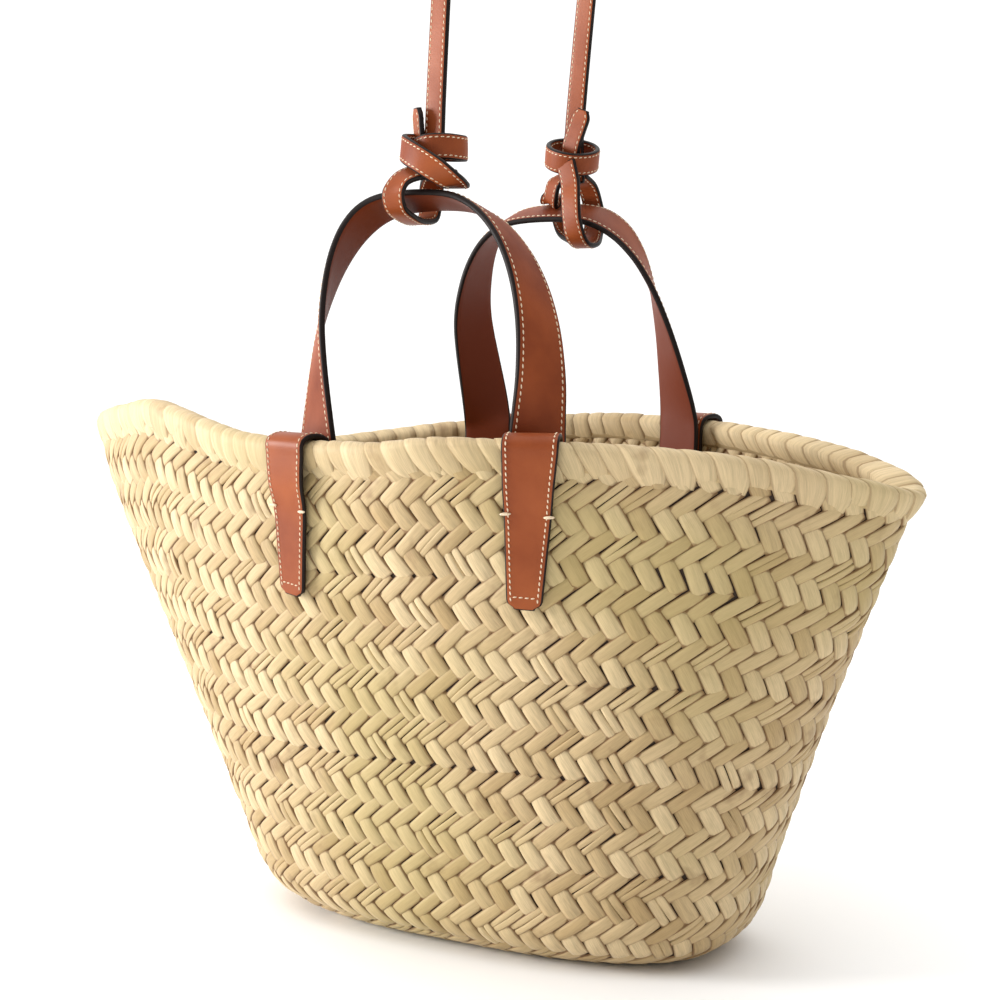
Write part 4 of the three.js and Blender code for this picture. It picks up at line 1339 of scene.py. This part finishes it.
def fibre_group():
    """Long fine fibres of a dried leaf: a streak value and a height, from millimetres on the leaf."""
    tree = bpy.data.node_groups.new("leaf_fibres", "ShaderNodeTree")
    tree.interface.new_socket("Leaf Position", in_out="INPUT", socket_type="NodeSocketVector")
    tree.interface.new_socket("Fineness", in_out="INPUT", socket_type="NodeSocketFloat")
    tree.interface.new_socket("Streaks", in_out="OUTPUT", socket_type="NodeSocketFloat")
    tree.interface.new_socket("Height", in_out="OUTPUT", socket_type="NodeSocketFloat")
    given = tree.nodes.new("NodeGroupInput")
    result = tree.nodes.new("NodeGroupOutput")
    stretch = tree.nodes.new("ShaderNodeVectorMath")
    stretch.operation = "MULTIPLY"
    stretch.inputs[1].default_value = (0.06, 1.0, 1.0)
    wire(tree, given.outputs["Leaf Position"], stretch.inputs[0])
    fine = tree.nodes.new("ShaderNodeTexNoise")
    fine.inputs["Detail"].default_value = 3.0
    wire(tree, stretch.outputs[0], fine.inputs["Vector"])
    wire(tree, given.outputs["Fineness"], fine.inputs["Scale"])
    broad = tree.nodes.new("ShaderNodeTexNoise")
    broad.inputs["Scale"].default_value = 0.55
    broad.inputs["Detail"].default_value = 2.0
    wire(tree, stretch.outputs[0], broad.inputs["Vector"])
    half = maths(tree, "MULTIPLY", fine.outputs["Fac"], 0.55)
    rest = maths(tree, "MULTIPLY", broad.outputs["Fac"], 0.45)
    total = maths(tree, "ADD", half, rest)
    wire(tree, total, result.inputs["Streaks"])
    wire(tree, fine.outputs["Fac"], result.inputs["Height"])
    return tree


def straw_material(name, light, middle, green, brown, fibre_strength):
    material, tree, shader = new_material(name)
    leaf = tree.nodes.new("ShaderNodeUVMap")
    leaf.uv_map = "leaf"
    shade = tree.nodes.new("ShaderNodeAttribute")
    shade.attribute_name = "piece_shade"
    split = tree.nodes.new("ShaderNodeSeparateColor")
    wire(tree, shade.outputs["Color"], split.inputs["Color"])
    place = tree.nodes.new("ShaderNodeTexCoord")
    fibres = tree.nodes.new("ShaderNodeGroup")
    fibres.node_tree = leaf_fibres
    fibres.inputs["Fineness"].default_value = 3.2
    wire(tree, leaf.outputs["UV"], fibres.inputs["Leaf Position"])
    blotch = noise(tree, place.outputs["Object"], 26.0, 2.0)
    tone = maths(tree, "MULTIPLY", split.outputs["Red"], 0.55)
    tone = maths(tree, "ADD", tone, maths(tree, "MULTIPLY", blotch, 0.45))
    base = ramp(tree, tone, ((0.22, middle), (0.6, light), (0.9, light)))
    streaks = ramp(tree, fibres.outputs["Streaks"], ((0.36, grey(0.68)), (0.58, grey(1.0))))
    base = mix(tree, 0.85, base, streaks, "MULTIPLY")
    back = maths(tree, "MULTIPLY", split.outputs["Green"], 0.42)
    base = mix(tree, back, base, middle)
    spots = noise(tree, place.outputs["Object"], 55.0, 3.0)
    stain = maths(tree, "MULTIPLY", ramp(tree, spots, ((0.62, grey(0)), (0.74, grey(1)))), 0.45)
    base = mix(tree, stain, base, brown)
    broad = noise(tree, place.outputs["Object"], 11.0, 1.0)
    greenish = ramp(tree, broad, ((0.5, grey(0)), (0.68, grey(0.5))))
    base = mix(tree, greenish, base, green)
    # painted shade: leaf edges and ends, marked in the blue channel, are darkened toward brown
    painted_gap_shade = ramp(tree, split.outputs["Blue"], ((0.66, grey(0)), (1.0, grey(0.8))))
    base = mix(tree, painted_gap_shade, base, brown)
    wire(tree, base, shader.inputs["Base Color"])
    rough = ramp(tree, fibres.outputs["Streaks"], ((0.3, grey(0.72)), (0.7, grey(0.5))))
    wire(tree, rough, shader.inputs["Roughness"])
    bump = tree.nodes.new("ShaderNodeBump")
    bump.inputs["Strength"].default_value = fibre_strength
    bump.inputs["Distance"].default_value = 0.0003
    wire(tree, fibres.outputs["Height"], bump.inputs["Height"])
    wire(tree, bump.outputs["Normal"], shader.inputs["Normal"])
    shader.inputs["Specular IOR Level"].default_value = 0.35
    shader.inputs["Sheen Weight"].default_value = 0.08
    return material


def leather_grain_group():
    """Fine grain of smooth leather: pores and soft creases, as a height and a tone."""
    tree = bpy.data.node_groups.new("leather_grain", "ShaderNodeTree")
    tree.interface.new_socket("Position", in_out="INPUT", socket_type="NodeSocketVector")
    tree.interface.new_socket("Height", in_out="OUTPUT", socket_type="NodeSocketFloat")
    tree.interface.new_socket("Tone", in_out="OUTPUT", socket_type="NodeSocketFloat")
    given = tree.nodes.new("NodeGroupInput")
    result = tree.nodes.new("NodeGroupOutput")
    cells = tree.nodes.new("ShaderNodeTexVoronoi")
    cells.feature = "F1"
    cells.inputs["Scale"].default_value = 1500.0
    wire(tree, given.outputs["Position"], cells.inputs["Vector"])
    soft = tree.nodes.new("ShaderNodeTexNoise")
    soft.inputs["Scale"].default_value = 420.0
    soft.inputs["Detail"].default_value = 4.0
    wire(tree, given.outputs["Position"], soft.inputs["Vector"])
    softer = maths(tree, "MULTIPLY", soft.outputs["Fac"], 0.8)
    both = maths(tree, "ADD", cells.outputs["Distance"], softer)
    wire(tree, both, result.inputs["Height"])
    cloud = tree.nodes.new("ShaderNodeTexNoise")
    cloud.inputs["Scale"].default_value = 38.0
    cloud.inputs["Detail"].default_value = 4.0
    wire(tree, given.outputs["Position"], cloud.inputs["Vector"])
    wire(tree, cloud.outputs["Fac"], result.inputs["Tone"])
    return tree


def leather_material(name, light, dark, under, roughness):
    material, tree, shader = new_material(name)
    place = tree.nodes.new("ShaderNodeTexCoord")
    grain = tree.nodes.new("ShaderNodeGroup")
    grain.node_tree = leather_grain
    wire(tree, place.outputs["Object"], grain.inputs["Position"])
    shade = tree.nodes.new("ShaderNodeAttribute")
    shade.attribute_name = "piece_shade"
    split = tree.nodes.new("ShaderNodeSeparateColor")
    wire(tree, shade.outputs["Color"], split.inputs["Color"])
    base = ramp(tree, grain.outputs["Tone"], ((0.3, dark), (0.68, light)))
    base = mix(tree, split.outputs["Green"], base, under)
    edge = ramp(tree, split.outputs["Red"], ((0.35, grey(0)), (0.6, grey(1))))
    base = mix(tree, edge, base, linear((24, 14, 11)))
    wire(tree, base, shader.inputs["Base Color"])
    stops = ((0.3, grey(roughness + 0.08)), (0.7, grey(roughness - 0.05)))
    rough = ramp(tree, grain.outputs["Tone"], stops)
    wire(tree, rough, shader.inputs["Roughness"])
    bump = tree.nodes.new("ShaderNodeBump")
    bump.inputs["Strength"].default_value = 0.22
    bump.inputs["Distance"].default_value = 0.00012
    wire(tree, grain.outputs["Height"], bump.inputs["Height"])
    wire(tree, bump.outputs["Normal"], shader.inputs["Normal"])
    shader.inputs["Specular IOR Level"].default_value = 0.2
    return material


def thread_material():
    material, tree, shader = new_material("waxed_thread")
    place = tree.nodes.new("ShaderNodeTexCoord")
    twist = noise(tree, place.outputs["Object"], 2600.0, 2.0)
    base = ramp(tree, twist, ((0.3, linear((205, 178, 142))), (0.7, linear((240, 224, 198)))))
    wire(tree, base, shader.inputs["Base Color"])
    wire(tree, ramp(tree, twist, ((0.3, grey(0.7)), (0.7, grey(0.55)))), shader.inputs["Roughness"])
    bump = tree.nodes.new("ShaderNodeBump")
    bump.inputs["Strength"].default_value = 0.3
    bump.inputs["Distance"].default_value = 0.0001
    wire(tree, twist, bump.inputs["Height"])
    wire(tree, bump.outputs["Normal"], shader.inputs["Normal"])
    return material


leaf_fibres = fibre_group()
leather_grain = leather_grain_group()
straw_leaf = straw_material(
    "palm_leaf",
    linear((215, 191, 148)),
    linear((181, 153, 107)),
    linear((176, 159, 102)),
    linear((112, 74, 38)),
    0.5,
)
# a dark brown copy of the leaf finish for the core: painted shade for the gaps between the leaves
painted_shade_straw = straw_material(
    "palm_leaf_painted_shade",
    linear((92, 66, 38)),
    linear((70, 48, 26)),
    linear((70, 48, 26)),
    linear((44, 28, 14)),
    0.5,
)
HIDE = (linear((154, 79, 39)), linear((125, 56, 25)))
handle_hide = leather_material(
    "handle_leather", linear((142, 68, 31)), linear((112, 47, 20)), linear((110, 46, 20)), 0.52
)
tab_hide = leather_material("tab_leather", HIDE[0], HIDE[1], linear((60, 36, 26)), 0.42)
strap_hide = leather_material("strap_leather", HIDE[0], HIDE[1], HIDE[1], 0.44)
thread = thread_material()
stitches_tree = stitch_tree()

plait("plait_outside", False, (7, 7), 3)
plait("plait_inside", True, (6, 5), 5)
base_plait("plait_base_outside", False, 8)
base_plait("plait_base_inside", True, 9)
basket_core()
rim_core()
rim_wraps()
for back in (False, True):
    make_handle(back)
    for side in (-1, 1):
        make_tab(side, back)
make_strap()

# Floor, light and camera
floor_mesh = bpy.data.meshes.new("floor")
low = -HANG[2] / 1000 - 0.0012
wide = 30.0
floor_mesh.from_pydata(
    [(-wide, -wide, low), (wide, -wide, low), (wide, wide, low), (-wide, wide, low)],
    [],
    [(0, 1, 2, 3)],
)
floor_piece = bpy.data.objects.new("floor", floor_mesh)
bpy.context.scene.collection.objects.link(floor_piece)
floor_look, _, floor_shader = new_material("studio_floor")
floor_shader.inputs["Base Color"].default_value = (0.95, 0.95, 0.95, 1)
floor_shader.inputs["Roughness"].default_value = 0.8
floor_shader.inputs["Specular IOR Level"].default_value = 0.1
floor_mesh.materials.append(floor_look)

scene = bpy.context.scene
scene.view_settings.view_transform = "Standard"
scene.view_settings.look = "None"
world = bpy.data.worlds.new("studio")
scene.world = world
world.use_nodes = True
studio = world.node_tree
sky = studio.nodes["Background"]
sky.inputs["Color"].default_value = (1.0, 0.995, 0.985, 1)
view = studio.nodes.new("ShaderNodeTexCoord")
parts = studio.nodes.new("ShaderNodeSeparateXYZ")
wire(studio, view.outputs["Generated"], parts.inputs["Vector"])
# brighter on the left and above, dim on the right and behind the camera
side_glow = maths(studio, "MULTIPLY", parts.outputs["X"], -0.58)
back_glow = maths(studio, "MULTIPLY", parts.outputs["Y"], 0.5)
above = maths(studio, "MAXIMUM", parts.outputs["Z"], 0.0)
top_glow = maths(studio, "MULTIPLY", maths(studio, "POWER", above, 3.0), 1.75)
glow = maths(studio, "ADD", maths(studio, "ADD", side_glow, back_glow), 0.46)
glow = maths(studio, "ADD", maths(studio, "MAXIMUM", glow, 0.33), top_glow)
wire(studio, glow, sky.inputs["Strength"])


def soft_light(name, at, size, power, colour=(1, 1, 1)):
    lamp = bpy.data.lights.new(name, "AREA")
    lamp.shape = "SQUARE"
    lamp.size = size
    lamp.energy = power
    lamp.color = colour
    made = bpy.data.objects.new(name, lamp)
    scene.collection.objects.link(made)
    made.location = at
    aim = Vector((-0.03, 0, -0.58)) - Vector(at)
    made.rotation_euler = aim.to_track_quat("-Z", "Y").to_euler()
    return made


soft_light("key_left", (-1.75, -0.95, -0.15), 0.6, 42)

camera_data = bpy.data.cameras.new("camera")
camera_data.lens = 61.764
camera_data.sensor_width = 36
camera_data.shift_x = -0.00638
camera_data.shift_y = 0.17869
camera_data.clip_start = 0.01
camera_data.clip_end = 50
camera = bpy.data.objects.new("camera", camera_data)
scene.collection.objects.link(camera)
camera.location = (0.31882, -0.66433, -0.45580)
camera_aim = Vector((-0.027, -0.00536, -0.611)) - camera.location
camera.rotation_euler = camera_aim.to_track_quat("-Z", "Y").to_euler()
scene.camera = camera
